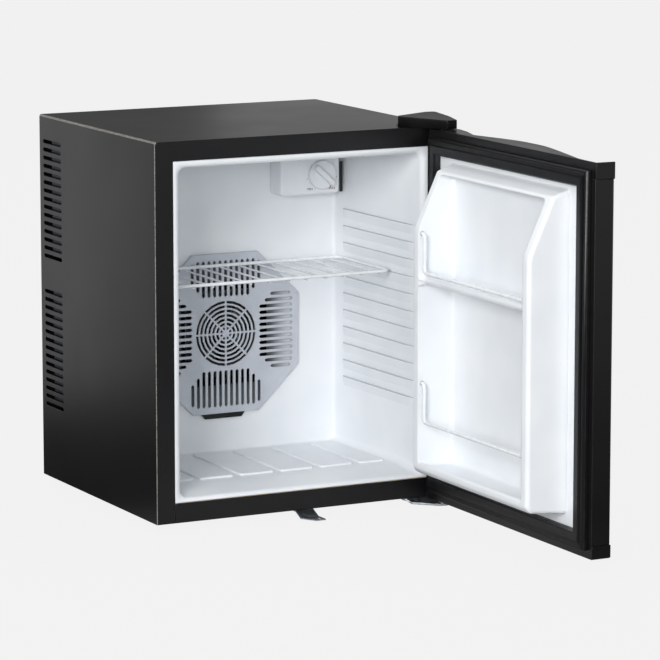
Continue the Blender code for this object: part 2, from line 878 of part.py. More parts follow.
def make_fan_cover():
    holes = list(ring_slots())
    for field in field_slots():
        holes += [field, [(-u, v) for u, v in field], swapped(field), [(v, -u) for u, v in field]]
    face = at(cover_face)
    depth = at(cavity_depth) - seat_gap
    outer = moved(octagon(cover_half, cover_chamfer), 0, cooler_height)
    edge = moved(octagon(cover_half - cover_round, cover_chamfer - cover_round / 2), 0, cooler_height)
    inner = moved(octagon(cover_half - cover_wall, cover_chamfer - cover_wall / 2), 0, cooler_height)
    rings = []
    for outline, y in ((edge, face), (outer, face + cover_round), (outer, depth), (inner, depth),
                       (inner, face + cover_wall)):
        rings.append([(x, y, z) for x, z in outline])
    cover = place("fan_cover", loft("fan_cover", rings), silver_plastic)
    cutters = []
    for hole in holes:
        outline = moved(hole, 0, cooler_height)
        cutters.append(plate("slot", [outline], "xz", face - sheet, face + cover_wall + sheet))
    cut(cover, "cover_slots", merged("cover_slots", cutters))
    half = outlet_width / 2
    lip = half - outlet_taper
    outlet = [(-half, 0), (half, 0), (lip, -outlet_height), (-lip, -outlet_height)]
    outlet = moved(outlet, outlet_offset, cooler_height - cover_half - seat_gap)
    place("drip_outlet", plate("drip_outlet", [outlet], "xz", face + cover_wall, depth), black_plastic)


# Fans


def fan_frame(name, size, depth, y0, hub):
    """A square frame round a bore, with a motor seat on struts at its back."""
    half = size / 2
    bore = half - fan_rim
    outer = []
    inner = []
    for i in range(fan_sides):
        angle = 2 * math.pi * i / fan_sides
        along = Vector((math.cos(angle), math.sin(angle)))
        reach = min(half / max(abs(along.x), abs(along.y)), half * fan_corner)
        outer.append((along.x * reach, along.y * reach + cooler_height))
        inner.append((along.x * bore, along.y * bore + cooler_height))
    rings = []
    for outline, y in ((outer, y0), (outer, y0 + depth), (inner, y0 + depth), (inner, y0)):
        rings.append([(x, y, z) for x, z in outline])
    frame = place(name, loft(name, rings, closed=True), black_plastic)
    far = y0 + depth - seat_gap / 2
    outline = moved(spider(hub, bore + fan_rim / 2), 0, cooler_height)
    join(frame, name + "_spider", plate(name + "_spider", [outline], "xz", far - strut_depth, far))
    smooth(frame)


def spider(hub, reach):
    """Outline of a motor seat with its struts."""
    points = []
    turn = math.degrees(math.asin(strut_width / 2 / hub))
    for i in range(fan_struts):
        middle = 45 + 360 / fan_struts * i
        along = Vector((math.cos(math.radians(middle)), math.sin(math.radians(middle))))
        across = Vector((-along.y, along.x)) * strut_width / 2
        points += [tuple(along * reach - across), tuple(along * reach + across)]
        points += arc((0, 0), hub, middle + turn, middle + 360 / fan_struts - turn, 5)
    return points


def fan_rotor(name, size, depth, y0, hub):
    """A hub with twisted blades, clear of the struts at the back of the frame."""
    axis_point = Vector((0, y0, cooler_height))
    tip = size / 2 - fan_rim - fan_clearance
    start = rotor_inset
    length = depth - strut_depth - 2 * seat_gap - rotor_inset
    hub_ring = arc((0, 0), hub, 0, 345, 23)
    rings = []
    for step, share in ((0, 0.9), (0.08, 1.0), (1, 1.0)):
        rings.append([(u * share, start + length * step, v * share) for u, v in hub_ring])
    rotor = place(name, loft(name, rings), black_plastic)
    rotor.location = axis_point
    blades = []
    for i in range(fan_blades):
        turn = 2 * math.pi * i / fan_blades
        rings = []
        for step in range(5):
            share = step / 4
            radius = hub * 0.8 + (tip - hub * 0.8) * share
            span = (0.72 + 0.32 * share) * length
            lean = math.radians(52 - 22 * share)
            half_u, half_y = span / 2 * math.cos(lean), span / 2 * math.sin(lean)
            section = [(-half_u, -half_y - blade_half), (-half_u, blade_half - half_y),
                       (half_u, half_y + blade_half), (half_u, half_y - blade_half)]
            ring = []
            for u, w in section:
                angle = turn + u / radius
                along = start + length / 2 + w * 0.85
                ring.append((radius * math.cos(angle), along, radius * math.sin(angle)))
            rings.append(ring)
        blades.append(loft("blade", rings))
    join(rotor, name + "_blades", merged(name + "_blades", blades))
    bpy.data.objects[name + "_blades"].location = axis_point
    smooth(rotor)


def comb(width, fin_low, base_low, base_high, count):
    """Section of a finned sink: fins from fin_low to base_low, on a base up to base_high."""
    step = (width - fin_thickness) / (count - 1)
    points = []
    for i in range(count):
        left = -width / 2 + i * step
        right = left + fin_thickness
        points += [(left, base_low), (left, fin_low), (right, fin_low), (right, base_low)]
    return points[1:-1] + [(width / 2, base_high), (-width / 2, base_high)]


def square(half):
    """A square about the cooling module's axis."""
    return rectangle(-half, cooler_height - half, half, cooler_height + half)


def make_cooler():
    fan_frame("cold_fan_frame", cold_fan_size, cold_fan_depth, at(cold_fan_front), cold_fan_hub)
    fan_rotor("cold_fan_rotor", cold_fan_size, cold_fan_depth, at(cold_fan_front), cold_fan_hub)
    half = cold_sink_size / 2
    fins = comb(cold_sink_size, at(cold_sink_front), at(cold_sink_back - cold_sink_base), at(cold_sink_back),
                cold_fin_count)
    low, high = cooler_height - half, cooler_height + half
    place("cold_heatsink", plate("cold_heatsink", [fins], "xy", low, high), aluminium)
    block = plate("cold_spacer_block", [square(spacer_size / 2)], "xz", at(spacer_front), at(spacer_back))
    bevel(place("cold_spacer_block", block, aluminium), spacer_edge, 1)
    near, far = at(spacer_back) + seat_gap, at(module_back)
    place("peltier_module", plate("peltier_module", [square(module_size / 2)], "xz", near, far), ceramic)
    half = hot_sink_size / 2
    fins = comb(hot_sink_size, at(hot_sink_back), at(hot_sink_front + hot_sink_base), at(hot_sink_front),
                hot_fin_count)
    low, high = cooler_height - half, cooler_height + half
    place("hot_heatsink", plate("hot_heatsink", [fins], "xy", low, high), aluminium)
    fan_frame("hot_fan_frame", hot_fan_size, hot_fan_depth, at(hot_fan_front), hot_fan_hub)
    fan_rotor("hot_fan_rotor", hot_fan_size, hot_fan_depth, at(hot_fan_front), hot_fan_hub)


# Rear cover, supply board and mains inlet


def make_rear():
    half = half_width - 2 * sheet - 2 * seat_gap
    holes = []
    first = -(rear_slot_columns - 1) / 2 * rear_slot_pitch
    rows = [cooler_height + step * rear_row_step for step in (1, 0, -1)] + [cabinet_height - rear_top_row]
    for level in rows:
        for i in range(rear_slot_columns):
            holes.append(swapped(slot(level - rear_slot_length / 2, level + rear_slot_length / 2,
                                      first + i * rear_slot_pitch, rear_slot_width, 2)))
    x, z = inlet_from_side - half_width, inlet_height
    clear_x, clear_z = inlet_body_half(seat_gap)
    holes.append(rectangle(x - clear_x, z - clear_z, x + clear_x, z + clear_z))
    outline = rectangle(-half, inside_low, half, inside_high)
    back = rear - rear_inset
    place("rear_cover", plate("rear_cover", [outline] + holes, "xz", back - sheet, back), black_sheet)
    make_inlet(x, z, back)
    make_board()


def make_board():
    """The supply board on its four posts, with its transformer."""
    width, height = board_size
    left = half_width - board_from_side
    face = at(foam_back) + seat_gap + sheet + board_standoff
    corner = (left, face, board_low)
    spans = [(corner, (left + width, face + board_thickness, board_low + height))]
    board = place("power_board", boxes("power_board", spans), board_green)
    posts = []
    reach = board_standoff + board_thickness / 2 - seat_gap
    for u in (board_post_inset, width - board_post_inset):
        for v in (board_post_inset, height - board_post_inset):
            centre = (left + u, face + board_thickness / 2 - reach / 2, board_low + v)
            posts.append((centre, reach))
    join(board, "board_posts", rods("board_posts", posts, board_post_radius, "y", 12))
    w, d, h = transformer_size
    left, low = left + transformer_place[0], board_low + transformer_place[1]
    foot = face + board_thickness + seat_gap
    coil = boxes("transformer", [((left, foot, low), (left + w, foot + d, low + h))])
    bevel(place("transformer", coil, black_plastic), transformer_edge, 1)


def inlet_body_half(gap):
    return inlet_opening[0] / 2 + inlet_wall + gap, inlet_opening[1] / 2 + inlet_wall + gap


def make_inlet(x, z, back):
    """Three-pin mains inlet, with its flange outside the rear cover."""
    width, height = inlet_size
    body_w, body_h = inlet_body_half(0)
    face = back + seat_gap + inlet_flange
    bottom = back - inlet_depth
    outer = rounded(x - width / 2, z - height / 2, x + width / 2, z + height / 2, inlet_corner, 3)
    inlet = place("mains_inlet", plate("mains_inlet", [outer], "xz", back + seat_gap, face), black_plastic)
    body = rounded(x - body_w, z - body_h, x + body_w, z + body_h, inlet_corner, 3)
    join(inlet, "inlet_body", plate("inlet_body", [body], "xz", bottom, face - inlet_flange / 2))
    w, h = inlet_opening[0] / 2, inlet_opening[1] / 2
    throat = [(x - w, z - h), (x + w, z - h), (x + w, z + h * 0.45), (x + w * 0.6, z + h),
              (x - w * 0.6, z + h), (x - w, z + h * 0.45)]
    cut(inlet, "inlet_throat", plate("inlet_throat", [throat], "xz", bottom + inlet_wall, back + cut_reach))
    blades = []
    pin_w, pin_h = inlet_pin[0] / 2, inlet_pin[1] / 2
    for u, v in inlet_pin_places:
        blades.append(((x + u - pin_w, bottom + inlet_wall / 2, z + v - pin_h),
                       (x + u + pin_w, back - inlet_pin_recess, z + v + pin_h)))
    join(inlet, "inlet_blades", boxes("inlet_blades", blades))


# Thermostat


def make_thermostat():
    x, z = knob_centre
    face = at(cavity_depth - thermostat_depth)
    left, low = thermostat_right - thermostat_width, thermostat_top - thermostat_height
    outline = rounded(left, low, thermostat_right, thermostat_top, thermostat_round, 3)
    rings = []
    for y, inset in ((face, thermostat_edge), (face + thermostat_edge, 0), (at(cavity_depth) - seat_gap, 0)):
        middle = Vector((left + thermostat_width / 2, low + thermostat_height / 2))
        share = Vector((1 - 2 * inset / thermostat_width, 1 - 2 * inset / thermostat_height))
        rings.append([(middle.x + (u - middle.x) * share.x, y, middle.y + (v - middle.y) * share.y)
                      for u, v in outline])
    housing = place("thermostat_housing", loft("thermostat_housing", rings), white_plastic)
    bore = ((x, face + knob_shaft_length / 2, z), knob_shaft_length + 2 * seat_gap + sheet)
    cut(housing, "thermostat_bore", rods("thermostat_bore", [bore], knob_shaft_radius + seat_gap, "y", 16))
    smooth(housing)
    rings = []
    for depth, share in ((0, 0.93), (knob_edge, 0.985), (knob_disc, 1.0)):
        rings.append([(u * share, depth - knob_disc - seat_gap, v * share)
                      for u, v in arc((0, 0), knob_radius, 0, 350, 35)])
    knob = place("thermostat_knob", loft("thermostat_knob", rings), white_plastic)
    knob.location = (x, face, z)
    knob.rotation_euler = (0, -math.radians(knob_rest_angle), 0)
    grip_top = -knob_disc - knob_grip_height
    rings = []
    for depth, share in ((grip_top, 0.72), (grip_top + knob_edge, 0.90), (seat_gap - knob_disc, 1.0)):
        half_v = knob_grip_width / 2 * share
        reach = knob_radius * (0.80 + 0.10 * share)
        rings.append([(u, depth, v) for u, v in [(-reach, -half_v), (reach, -half_v), (reach * 1.05, 0),
                                                 (reach, half_v), (-reach, half_v), (-reach * 1.05, 0)]])
    join(knob, "knob_grip", loft("knob_grip", rings))
    shaft = ((0, knob_shaft_length / 2 - seat_gap * 1.5, 0), knob_shaft_length)
    join(knob, "knob_shaft", rods("knob_shaft", [shaft], knob_shaft_radius, "y", 16))
    for name in ("knob_grip", "knob_shaft"):
        bpy.data.objects[name].location = knob.location
        bpy.data.objects[name].rotation_euler = knob.rotation_euler
    smooth(knob)


# Wire shelf


def make_shelf():
    level = ledge_level(shelf_on_ledge) + shelf_wire + seat_gap
    back = cavity_depth - shelf_back_margin
    path = rounded(-shelf_half, at(shelf_front), shelf_half, at(back), shelf_corner, 4)
    frame = wire("wire_shelf", [(x, y, level) for x, y in path], shelf_wire, closed=True)
    shelf = place("wire_shelf", frame, white_wire)
    under = level - shelf_wire - cross_wire * 0.45
    count = round(2 * shelf_half / cross_pitch)
    first = -(count - 1) / 2 * cross_pitch
    spans = []
    for i in range(count):
        centre = (first + i * cross_pitch, at((shelf_front + back) / 2), under)
        spans.append((centre, back - shelf_front + 2 * cross_wire))
    join(shelf, "cross_wires", rods("cross_wires", spans, cross_wire, "y", 6))
    smooth(shelf)


# Hinges of the cabinet


def hinge_plan():
    """Outline of a hinge plate: broad on the cabinet and narrow round the pin."""
    nose = hinge_y - plate_nose
    return [(hinge_x - plate_left, at(sheet)), (hinge_x - plate_nose, nose + plate_nose / 3),
            (hinge_x, nose), (hinge_x + plate_nose, nose + plate_nose / 2), (hinge_x + plate_right, front),
            (hinge_x + plate_right, at(plate_back)), (hinge_x - plate_left, at(plate_back))]


def upright(x, y, low, high):
    """Centre and length of a bar that stands between two heights."""
    return (x, y, (low + high) / 2), high - low


def make_hinges():
    top = cabinet_height + seat_gap
    upper = place("top_hinge_plate",
                  plate("top_hinge_plate", [hinge_plan()], "xy", top, top + hinge_plate), zinc)
    pin = upright(hinge_x, hinge_y, top - pin_length, top + hinge_plate / 2)
    join(upper, "top_pin", rods("top_pin", [pin], pin_radius, "z", 20))
    low = -seat_gap
    step = low - hinge_step
    past = hinge_y - plate_nose - cut_reach
    back = at(plate_back) + cut_reach
    bend = at(-hinge_step_run)
    section = [(back, low), (front, low), (bend, step), (past, step), (past, step - hinge_plate),
               (bend, step - hinge_plate), (front, low - hinge_plate), (back, low - hinge_plate)]
    left, right = hinge_x - plate_left - cut_reach, hinge_x + plate_right + cut_reach
    lower = place("bottom_hinge_plate", plate("bottom_hinge_plate", [section], "yz", left, right), zinc)
    plan = plate("hinge_plan", [hinge_plan()], "xy", step - 2 * hinge_plate, low + hinge_plate)
    boolean(lower, helper("hinge_plan", plan), "INTERSECT")
    collar = door_low - seat_gap / 2 - collar_thickness
    boss = upright(hinge_x, hinge_y, step - hinge_plate / 2, collar - seat_gap)
    join(lower, "bottom_boss", rods("bottom_boss", [boss], hinge_boss_radius, "z", 20))
    pin = upright(hinge_x, hinge_y, step - hinge_plate / 2, door_low + bush_length - seat_gap)
    join(lower, "bottom_pin", rods("bottom_pin", [pin], pin_radius, "z", 20))
    make_hinge_cover(top)
    make_tab()


def make_hinge_cover(low):
    """A moulded cap over the top hinge, with its crest at the back and a narrow front end."""
    left, right = half_width - hinge_cover_left, half_width - hinge_cover_right
    nose_left, nose_right = half_width - hinge_cover_nose_left, half_width - hinge_cover_nose_right
    back, nose, corner = hinge_cover_back, -hinge_cover_nose, hinge_cover_wall
    plan = [(left, corner / 2), (nose_left - corner, nose + corner), (nose_left + corner, nose),
            (nose_right - corner, nose), (nose_right + corner / 2, nose + 2 * corner), (right, nose * 0.3),
            (right, back - corner), (right - corner, back), (left + corner, back), (left, back - corner)]
    middle = Vector(((left + right) / 2, 0)) + Vector((corner * 3, corner * 2))
    rings = []
    for share, shrink in ((0.0, 0), (0.86, 0), (1.0, hinge_cover_draft)):
        ring = []
        for x, d in plan:
            out = (Vector((x, d)) - middle).normalized()
            fall = hinge_cover_fall * min(1, max(0, (back * 0.83 - d) / (back * 0.83 - nose)))
            height = (hinge_cover_height - fall) * share
            ring.append((x - out.x * shrink, at(d - out.y * shrink), low + height))
        rings.append(ring)
    cover = place("top_hinge_cover", loft("top_hinge_cover", rings), black_plastic)
    hollow = []
    for z in (low - cut_reach, low + hinge_cover_height - hinge_cover_fall - hinge_cover_wall):
        ring = []
        for x, d in plan:
            out = (Vector((x, d)) - middle).normalized()
            ring.append((x - out.x * hinge_cover_wall, at(d - out.y * hinge_cover_wall), z))
        hollow.append(ring)
    cut(cover, "hinge_cover_hollow", loft("hinge_cover_hollow", hollow))


def make_tab():
    """A sheet tab that slopes down from under the front edge and runs on to its screw hole."""
    top = -seat_gap
    low = top - tab_drop
    bend = tab_slope + 2 * tab_thickness
    section = [(at(tab_root), top), (front, top), (at(-tab_slope), low), (at(-bend), low),
               (at(-bend), low - tab_thickness), (at(-tab_slope), low - tab_thickness),
               (front, top - tab_thickness), (at(tab_root), top - tab_thickness)]
    sheet_form = plate("front_fixing_bracket", [section], "yz", tab_left, tab_right)
    tab = place("front_fixing_bracket", sheet_form, zinc)
    arm = [(tab_left, at(-tab_slope)), (tab_end_left, at(-tab_reach)), (tab_right, at(-tab_reach)),
           (tab_right, at(-tab_slope))]
    join(tab, "tab_arm", plate("tab_arm", [arm], "xy", low - tab_thickness, low))
    hole = ((tab_end_left + tab_right) / 2, at(tab_hole_margin - tab_reach), low), 4 * tab_thickness
    cut(tab, "tab_hole", rods("tab_hole", [hole], tab_hole, "z", 16))


# Door


def door_pins():
    pins = bpy.data.objects.new("door_pins", None)
    parts.objects.link(pins)
    pins.location = (hinge_x, hinge_y, 0)
    pins.rotation_euler = (0, 0, math.radians(door_rest_angle))
    return pins


def door_face(x, half=half_width):
    """How far the door's bowed face stands ahead of the cabinet's front plane."""
    return door_gap + door_edge_depth + door_bow * (1 - (x / half) ** 2)


def bow(half, inset, steps=20):
    points = []
    for i in range(steps + 1):
        x = -half + 2 * half * i / steps
        points.append((x, at(-door_face(x) + inset)))
    return points


def make_door_panel(pins):
    """A bowed sheet with folded edges, open above and below where the caps close it."""
    low = door_low + bottom_cap_height + seat_gap
    high = door_high - top_cap_height - seat_gap
    side = half_width - cap_stand
    face = bow(side - skin_corner, 0)
    corner = skin_corner * 0.3
    outer = [(-side, at(-door_gap)), (-side, face[0][1] + skin_corner), (-side + corner, face[0][1] + corner)]
    outer += face
    outer += [(side - corner, face[-1][1] + corner), (side, face[-1][1] + skin_corner), (side, at(-door_gap))]
    lip = side - skin_return
    inner = [(lip, at(-door_gap)), (lip, at(-door_gap - skin)), (side - skin, at(-door_gap - skin))]
    inner += reversed(bow(side - skin, skin))
    inner += [(skin - side, at(-door_gap - skin)), (-lip, at(-door_gap - skin)), (-lip, at(-door_gap))]
    folded = plate("door_outer_panel", [outer + inner], "xy", low, high)
    panel = place("door_outer_panel", folded, black_sheet, pins)
    smooth(panel)
    foam_side = side - skin - seat_gap
    behind = door_gap + skin + seat_gap + door_flange
    core = [(-foam_side, at(-behind))] + bow(foam_side, skin + seat_gap) + [(foam_side, at(-behind))]
    place("door_foam", plate("door_foam", [core], "xy", low, high), foam_yellow, pins)


def crown(x):
    """Depth of the level part of the top cap's upper face, which swells in the middle."""
    reach = half_width - crown_end
    if abs(x) >= reach:
        return crown_edge
    return crown_edge + crown_depth * math.cos(math.pi * x / (2 * reach)) ** 2


def make_top_cap(pins):
    low = door_high - top_cap_height
    stations = [-half_width, -half_width + end_flange, -half_width + end_flange + seat_gap]
    steps = 26
    for i in range(1, steps):
        stations.append(-half_width + end_flange + (2 * half_width - end_flange) * i / steps)
    stations.append(half_width)
    rings = []
    for x in stations:
        reach = door_face(x)
        level = min(door_gap + crown(x), reach - sheet)
        fall = crown_slope * (reach - level)
        land = (x - hinge_x + hinge_land + hinge_land_ramp) / hinge_land_ramp
        fall *= 1 - min(1, max(0, land))
        if x <= -half_width + end_flange:
            fall = 0
        section = [(-door_gap, low), (-door_gap, door_high), (-level, door_high),
                   (-reach, door_high - fall), (-reach, low)]
        rings.append([(x, at(d), z) for d, z in section])
    cap = place("door_top_cap", loft("door_top_cap", rings), black_plastic, pins)
    hole = ((hinge_x, hinge_y, door_high), 2 * (bush_length + 2 * seat_gap))
    cut(cap, "top_bush_hole", rods("top_bush_hole", [hole], bush_radius + seat_gap, "z", 20), pins)


def make_bottom_cap(pins):
    high = door_low + bottom_cap_height
    rings = []
    for z, inset in ((door_low, cap_stand), (door_low + cap_stand, 0), (high, 0)):
        outline = [(-half_width + inset, at(-door_gap))]
        outline += [(x * (1 - inset / half_width), y + inset) for x, y in bow(half_width, 0)]
        outline += [(half_width - inset, at(-door_gap))]
        rings.append([(x, y, z) for x, y in outline])
    cap = place("door_bottom_cap", loft("door_bottom_cap", rings), black_plastic, pins)
    hole = ((hinge_x, hinge_y, door_low), 2 * (bush_length + 2 * seat_gap))
    cut(cap, "bottom_bush_hole", rods("bottom_bush_hole", [hole], bush_radius + seat_gap, "z", 20), pins)


def make_bushes(pins):
    bore = pin_radius + bush_clearance
    for name, mouth, way in (("top_hinge_bush", door_high, 1), ("bottom_hinge_bush", door_low, -1)):
        profile = [(bore, mouth - way * bush_length), (bush_radius, mouth - way * bush_length),
                   (bush_radius, mouth + way * seat_gap / 2), (collar_radius, mouth + way * seat_gap / 2),
                   (collar_radius, mouth + way * (seat_gap / 2 + collar_thickness)),
                   (bore, mouth + way * (seat_gap / 2 + collar_thickness))]
        rings = []
        for radius, z in profile:
            rings.append([(hinge_x + u, hinge_y + v, z) for u, v in arc((0, 0), radius, 0, 345, 23)])
        bush = place(name, loft(name, rings, closed=True), nylon, pins)
        smooth(bush)


def door_block():
    """The solid that the door's dykes and pockets are formed from, round along its front edges."""
    root = -door_gap - door_flange / 2
    bend, slope_top = dyke_top - dyke_bend_drop, dyke_top - dyke_top_slope
    low_root, low_nose = (root, dyke_bottom - dyke_edge_round), (dyke_nose, dyke_bottom)
    high_nose, high_root = (dyke_nose, bend), (dyke_top_nose, slope_top)
    section = [(root, dyke_top), low_root]
    section += round_corner(low_root, low_nose, high_nose, dyke_corner)
    section += round_corner(low_nose, high_nose, high_root, 3 * dyke_corner, 3)
    section += round_corner(high_nose, high_root, (root, dyke_top), dyke_edge_round, 3)
    outline = [(at(d), z) for d, z in section]
    work = bmesh.new()
    work.from_mesh(plate("door_block", [outline], "yz", -dyke_half, dyke_half))
    bmesh.ops.dissolve_limit(work, angle_limit=math.radians(1), verts=work.verts, edges=work.edges)
    rim = []
    for edge in work.edges:
        one, two = [corner.co for corner in edge.verts]
        on_side = abs(one.x - two.x) < seat_gap and abs(abs(one.x) - dyke_half) < seat_gap
        at_root = max(one.y, two.y) < at(root) + seat_gap
        if on_side and not at_root:
            rim.append(edge)
    bmesh.ops.bevel(work, geom=rim, offset=dyke_edge_round, offset_type="OFFSET", segments=3, profile=0.5,
                    affect="EDGES")
    return finished(work, "door_block")


def make_door_liner(pins):
    """The moulded liner: a flange, two deep side walls, a bottom and a middle shelf."""
    low = door_low + bottom_cap_height + seat_gap
    high = door_high - top_cap_height - seat_gap
    flange_half = half_width - door_flange_margin
    outline = rounded(-flange_half, low, flange_half, high, dyke_edge_round, 2)
    flange = plate("door_liner", [outline], "xz", at(-door_gap - door_flange), at(-door_gap))
    liner = place("door_liner", flange, white_plastic, pins)
    join(liner, "door_block", door_block(), pins)
    pocket_half = dyke_half - dyke_width
    past = dyke_nose + 2 * pocket_fillet
    pockets = (("lower_pocket", bottom_shelf, mid_shelf_under),
               ("upper_pocket", mid_shelf_floor, dyke_top - pocket_top_wall))
    for name, under, over in pockets:
        span = ((-pocket_half, at(pocket_floor), under), (pocket_half, at(past), over))
        cut(liner, name, boxes(name, [span]), pins)
        bevel(bpy.data.objects[name], pocket_fillet, 3)
    web = ((-pocket_half, at(mid_shelf_nose - mid_shelf_bar), mid_shelf_under - sheet),
           (pocket_half, at(past), mid_shelf_floor + sheet))
    cut(liner, "shelf_front", boxes("shelf_front", [web]), pins)
    join(liner, "mid_shelf_bar", shelf_bar(pocket_half), pins)
    lip = rounded(at(dyke_nose - lip_thickness), bottom_shelf - lip_thickness / 2, at(dyke_nose - seat_gap),
                  bottom_shelf + bottom_lip, lip_thickness * 0.4, 3)
    join(liner, "bottom_shelf_lip",
         plate("bottom_shelf_lip", [lip], "yz", -pocket_half - sheet, pocket_half + sheet), pins)
    make_rods(liner, pocket_half, pins)
    smooth(liner)


def shelf_bar(reach):
    """The round bar along the middle shelf's front, flared where it meets the side walls."""
    ends = [(reach + sheet, 1.0), (reach - bar_flare / 2, 0.75), (reach - 1.5 * bar_flare, 0.3),
            (reach - 3.5 * bar_flare, 0.0)]
    stations = [(-x, flare) for x, flare in ends] + ends[::-1]
    middle = (at(mid_shelf_nose - mid_shelf_bar), mid_shelf_under + mid_shelf_bar)
    rings = []
    for x, flare in stations:
        section = arc(middle, mid_shelf_bar + flare * bar_flare, 0, 330, 11)
        rings.append([(x, y, z) for y, z in section])
    return loft("mid_shelf_bar", rings)


def make_rods(liner, pocket_half, pins):
    """Two bent wires, each sprung into a hole in either side wall."""
    grip = pocket_half + rod_grip
    for name, level in (("upper_retaining_rod", upper_rod), ("lower_retaining_rod", lower_rod)):
        top = level + rod_rise
        leg = pocket_half - rod_inset
        holes = []
        for side in (-1, 1):
            holes.append(((side * grip, at(rod_depth), top), 2 * (rod_grip + sheet)))
        cut(liner, name + "_holes", rods(name + "_holes", holes, rod_radius + rod_clearance, "x", 12), pins)
        tip = grip + rod_grip - 2 * sheet
        bends = [(tip, top)] + round_corner((tip, top), (leg, top), (leg, level), rod_bend, 3)
        bends += round_corner((leg, top), (leg, level), (-leg, level), rod_bend, 3)
        path = bends + [(-x, z) for x, z in reversed(bends)]
        rod = place(name, wire(name, [(x, at(rod_depth), z) for x, z in path], rod_radius), white_wire, pins)
        smooth(rod)


def make_gasket(pins):
    """A magnetic seal with three small lips and a flat strip, mitred at its corners."""
    profile = [
        (0.000, 0.00), (0.000, 0.42), (0.060, 0.78), (0.150, 0.90), (0.215, 0.70),
        (0.280, 0.90), (0.345, 0.70), (0.410, 0.92), (0.460, 1.00), (0.860, 1.00),
        (0.930, 0.90), (0.960, 0.55), (1.000, 0.40), (1.000, 0.00),
    ]
    base = door_gap - seat_gap
    rings = []
    for inward, rise in profile:
        inset = gasket_margin + inward * gasket_width
        y = at(-base + rise * gasket_height)
        x, low, high = half_width - inset, door_low + inset, door_high - inset
        rings.append([(-x, y, low), (x, y, low), (x, y, high), (-x, y, high)])
    place("door_gasket", loft("door_gasket", rings, closed=True), rubber, pins)


def make_door():
    pins = door_pins()
    make_door_panel(pins)
    make_top_cap(pins)
    make_bottom_cap(pins)
    make_bushes(pins)
    make_door_liner(pins)
    make_gasket(pins)


make_shell()
make_base()
make_liner()
make_foam()
make_compartment_wall()
make_fan_cover()
make_cooler()
make_rear()
make_thermostat()
make_shelf()
make_hinges()
make_door()
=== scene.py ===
import json
import math

import bmesh
import bpy
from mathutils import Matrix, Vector


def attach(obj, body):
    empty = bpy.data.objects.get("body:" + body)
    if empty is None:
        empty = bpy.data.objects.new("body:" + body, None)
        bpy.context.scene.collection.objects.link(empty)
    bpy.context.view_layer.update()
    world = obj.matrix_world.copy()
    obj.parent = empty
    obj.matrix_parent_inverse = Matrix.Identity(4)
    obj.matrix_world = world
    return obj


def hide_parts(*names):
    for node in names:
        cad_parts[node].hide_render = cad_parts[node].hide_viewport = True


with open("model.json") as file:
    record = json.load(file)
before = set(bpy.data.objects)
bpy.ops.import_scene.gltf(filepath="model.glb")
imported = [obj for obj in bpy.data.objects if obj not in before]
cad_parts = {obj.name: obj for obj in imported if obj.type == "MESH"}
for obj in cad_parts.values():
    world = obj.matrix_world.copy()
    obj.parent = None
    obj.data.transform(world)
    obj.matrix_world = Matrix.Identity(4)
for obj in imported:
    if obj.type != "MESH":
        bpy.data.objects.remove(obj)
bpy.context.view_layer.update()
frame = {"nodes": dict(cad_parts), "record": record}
nodes = frame["nodes"]
scene = bpy.context.scene
mm = 0.001

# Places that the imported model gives, in metres
cabinet = {"front": -0.1765, "halfWidth": 0.200, "top": 0.470}
coolerHeight = 0.1893


# Colours and nodes

def linear(hexColour):
    # sRGB hex such as 1b1b1d to linear RGBA
    channels = []
    for start in (0, 2, 4):
        value = int(hexColour[start:start + 2], 16) / 255
        channels.append(value / 12.92 if value <= 0.04045 else ((value + 0.055) / 1.055) ** 2.4)
    return (*channels, 1.0)


def addNode(tree, kind, inputs=None, stops=None, **settings):
    # an input takes a value or the socket linked to it, and stops are a ramp's places and colours
    made = tree.nodes.new("ShaderNode" + kind)
    for name, value in settings.items():
        setattr(made, name, value)
    for name, value in (inputs or {}).items():
        if isinstance(value, bpy.types.NodeSocket):
            tree.links.new(value, made.inputs[name])
        else:
            made.inputs[name].default_value = value
    for index, (place, colour) in enumerate(stops or []):
        elements = made.color_ramp.elements
        stop = elements[index] if index < 2 else elements.new(place)
        stop.position = place
        stop.color = linear(colour)
    return made


def startMaterial(name):
    # the shader, its output and the object's own coordinates in millimetres
    material = bpy.data.materials.new(name)
    material.use_nodes = True
    tree = material.node_tree
    tree.nodes.clear()
    shader = addNode(tree, "BsdfPrincipled")
    addNode(tree, "OutputMaterial", {"Surface": shader.outputs["BSDF"]})
    where = addNode(tree, "TexCoord").outputs["Object"]
    scaled = addNode(tree, "VectorMath", {0: where, 1: (1000, 1000, 1000)}, operation="MULTIPLY")
    return material, tree, shader, scaled.outputs[0]


def relief(tree, shader, radius, layers):
    # edges rounded in the shading by radius mm, under layers of (height, depth in mm, strength)
    normal = addNode(tree, "Bevel", {"Radius": radius * mm}, samples=4).outputs["Normal"]
    edge = normal
    for height, depth, strength in layers:
        normal = addNode(tree, "Bump", {"Height": height, "Distance": depth * mm, "Strength": strength,
                                        "Normal": normal}).outputs["Normal"]
    tree.links.new(normal, shader.inputs["Normal"])
    return edge


def edgeWear(tree, edge, scuff):
    # bright along the edges, broken up by the scuff pattern
    flat = addNode(tree, "NewGeometry").outputs["Normal"]
    along = addNode(tree, "VectorMath", {0: edge, 1: flat}, operation="DOT_PRODUCT").outputs["Value"]
    rim = addNode(tree, "MapRange", {"Value": along, "From Min": 0.985, "From Max": 0.80}).outputs["Result"]
    patchy = addNode(tree, "MapRange", {"Value": scuff, "From Min": 0.42,
                                        "From Max": 0.72}).outputs["Result"]
    return addNode(tree, "Math", {0: rim, 1: patchy}, operation="MULTIPLY").outputs[0]


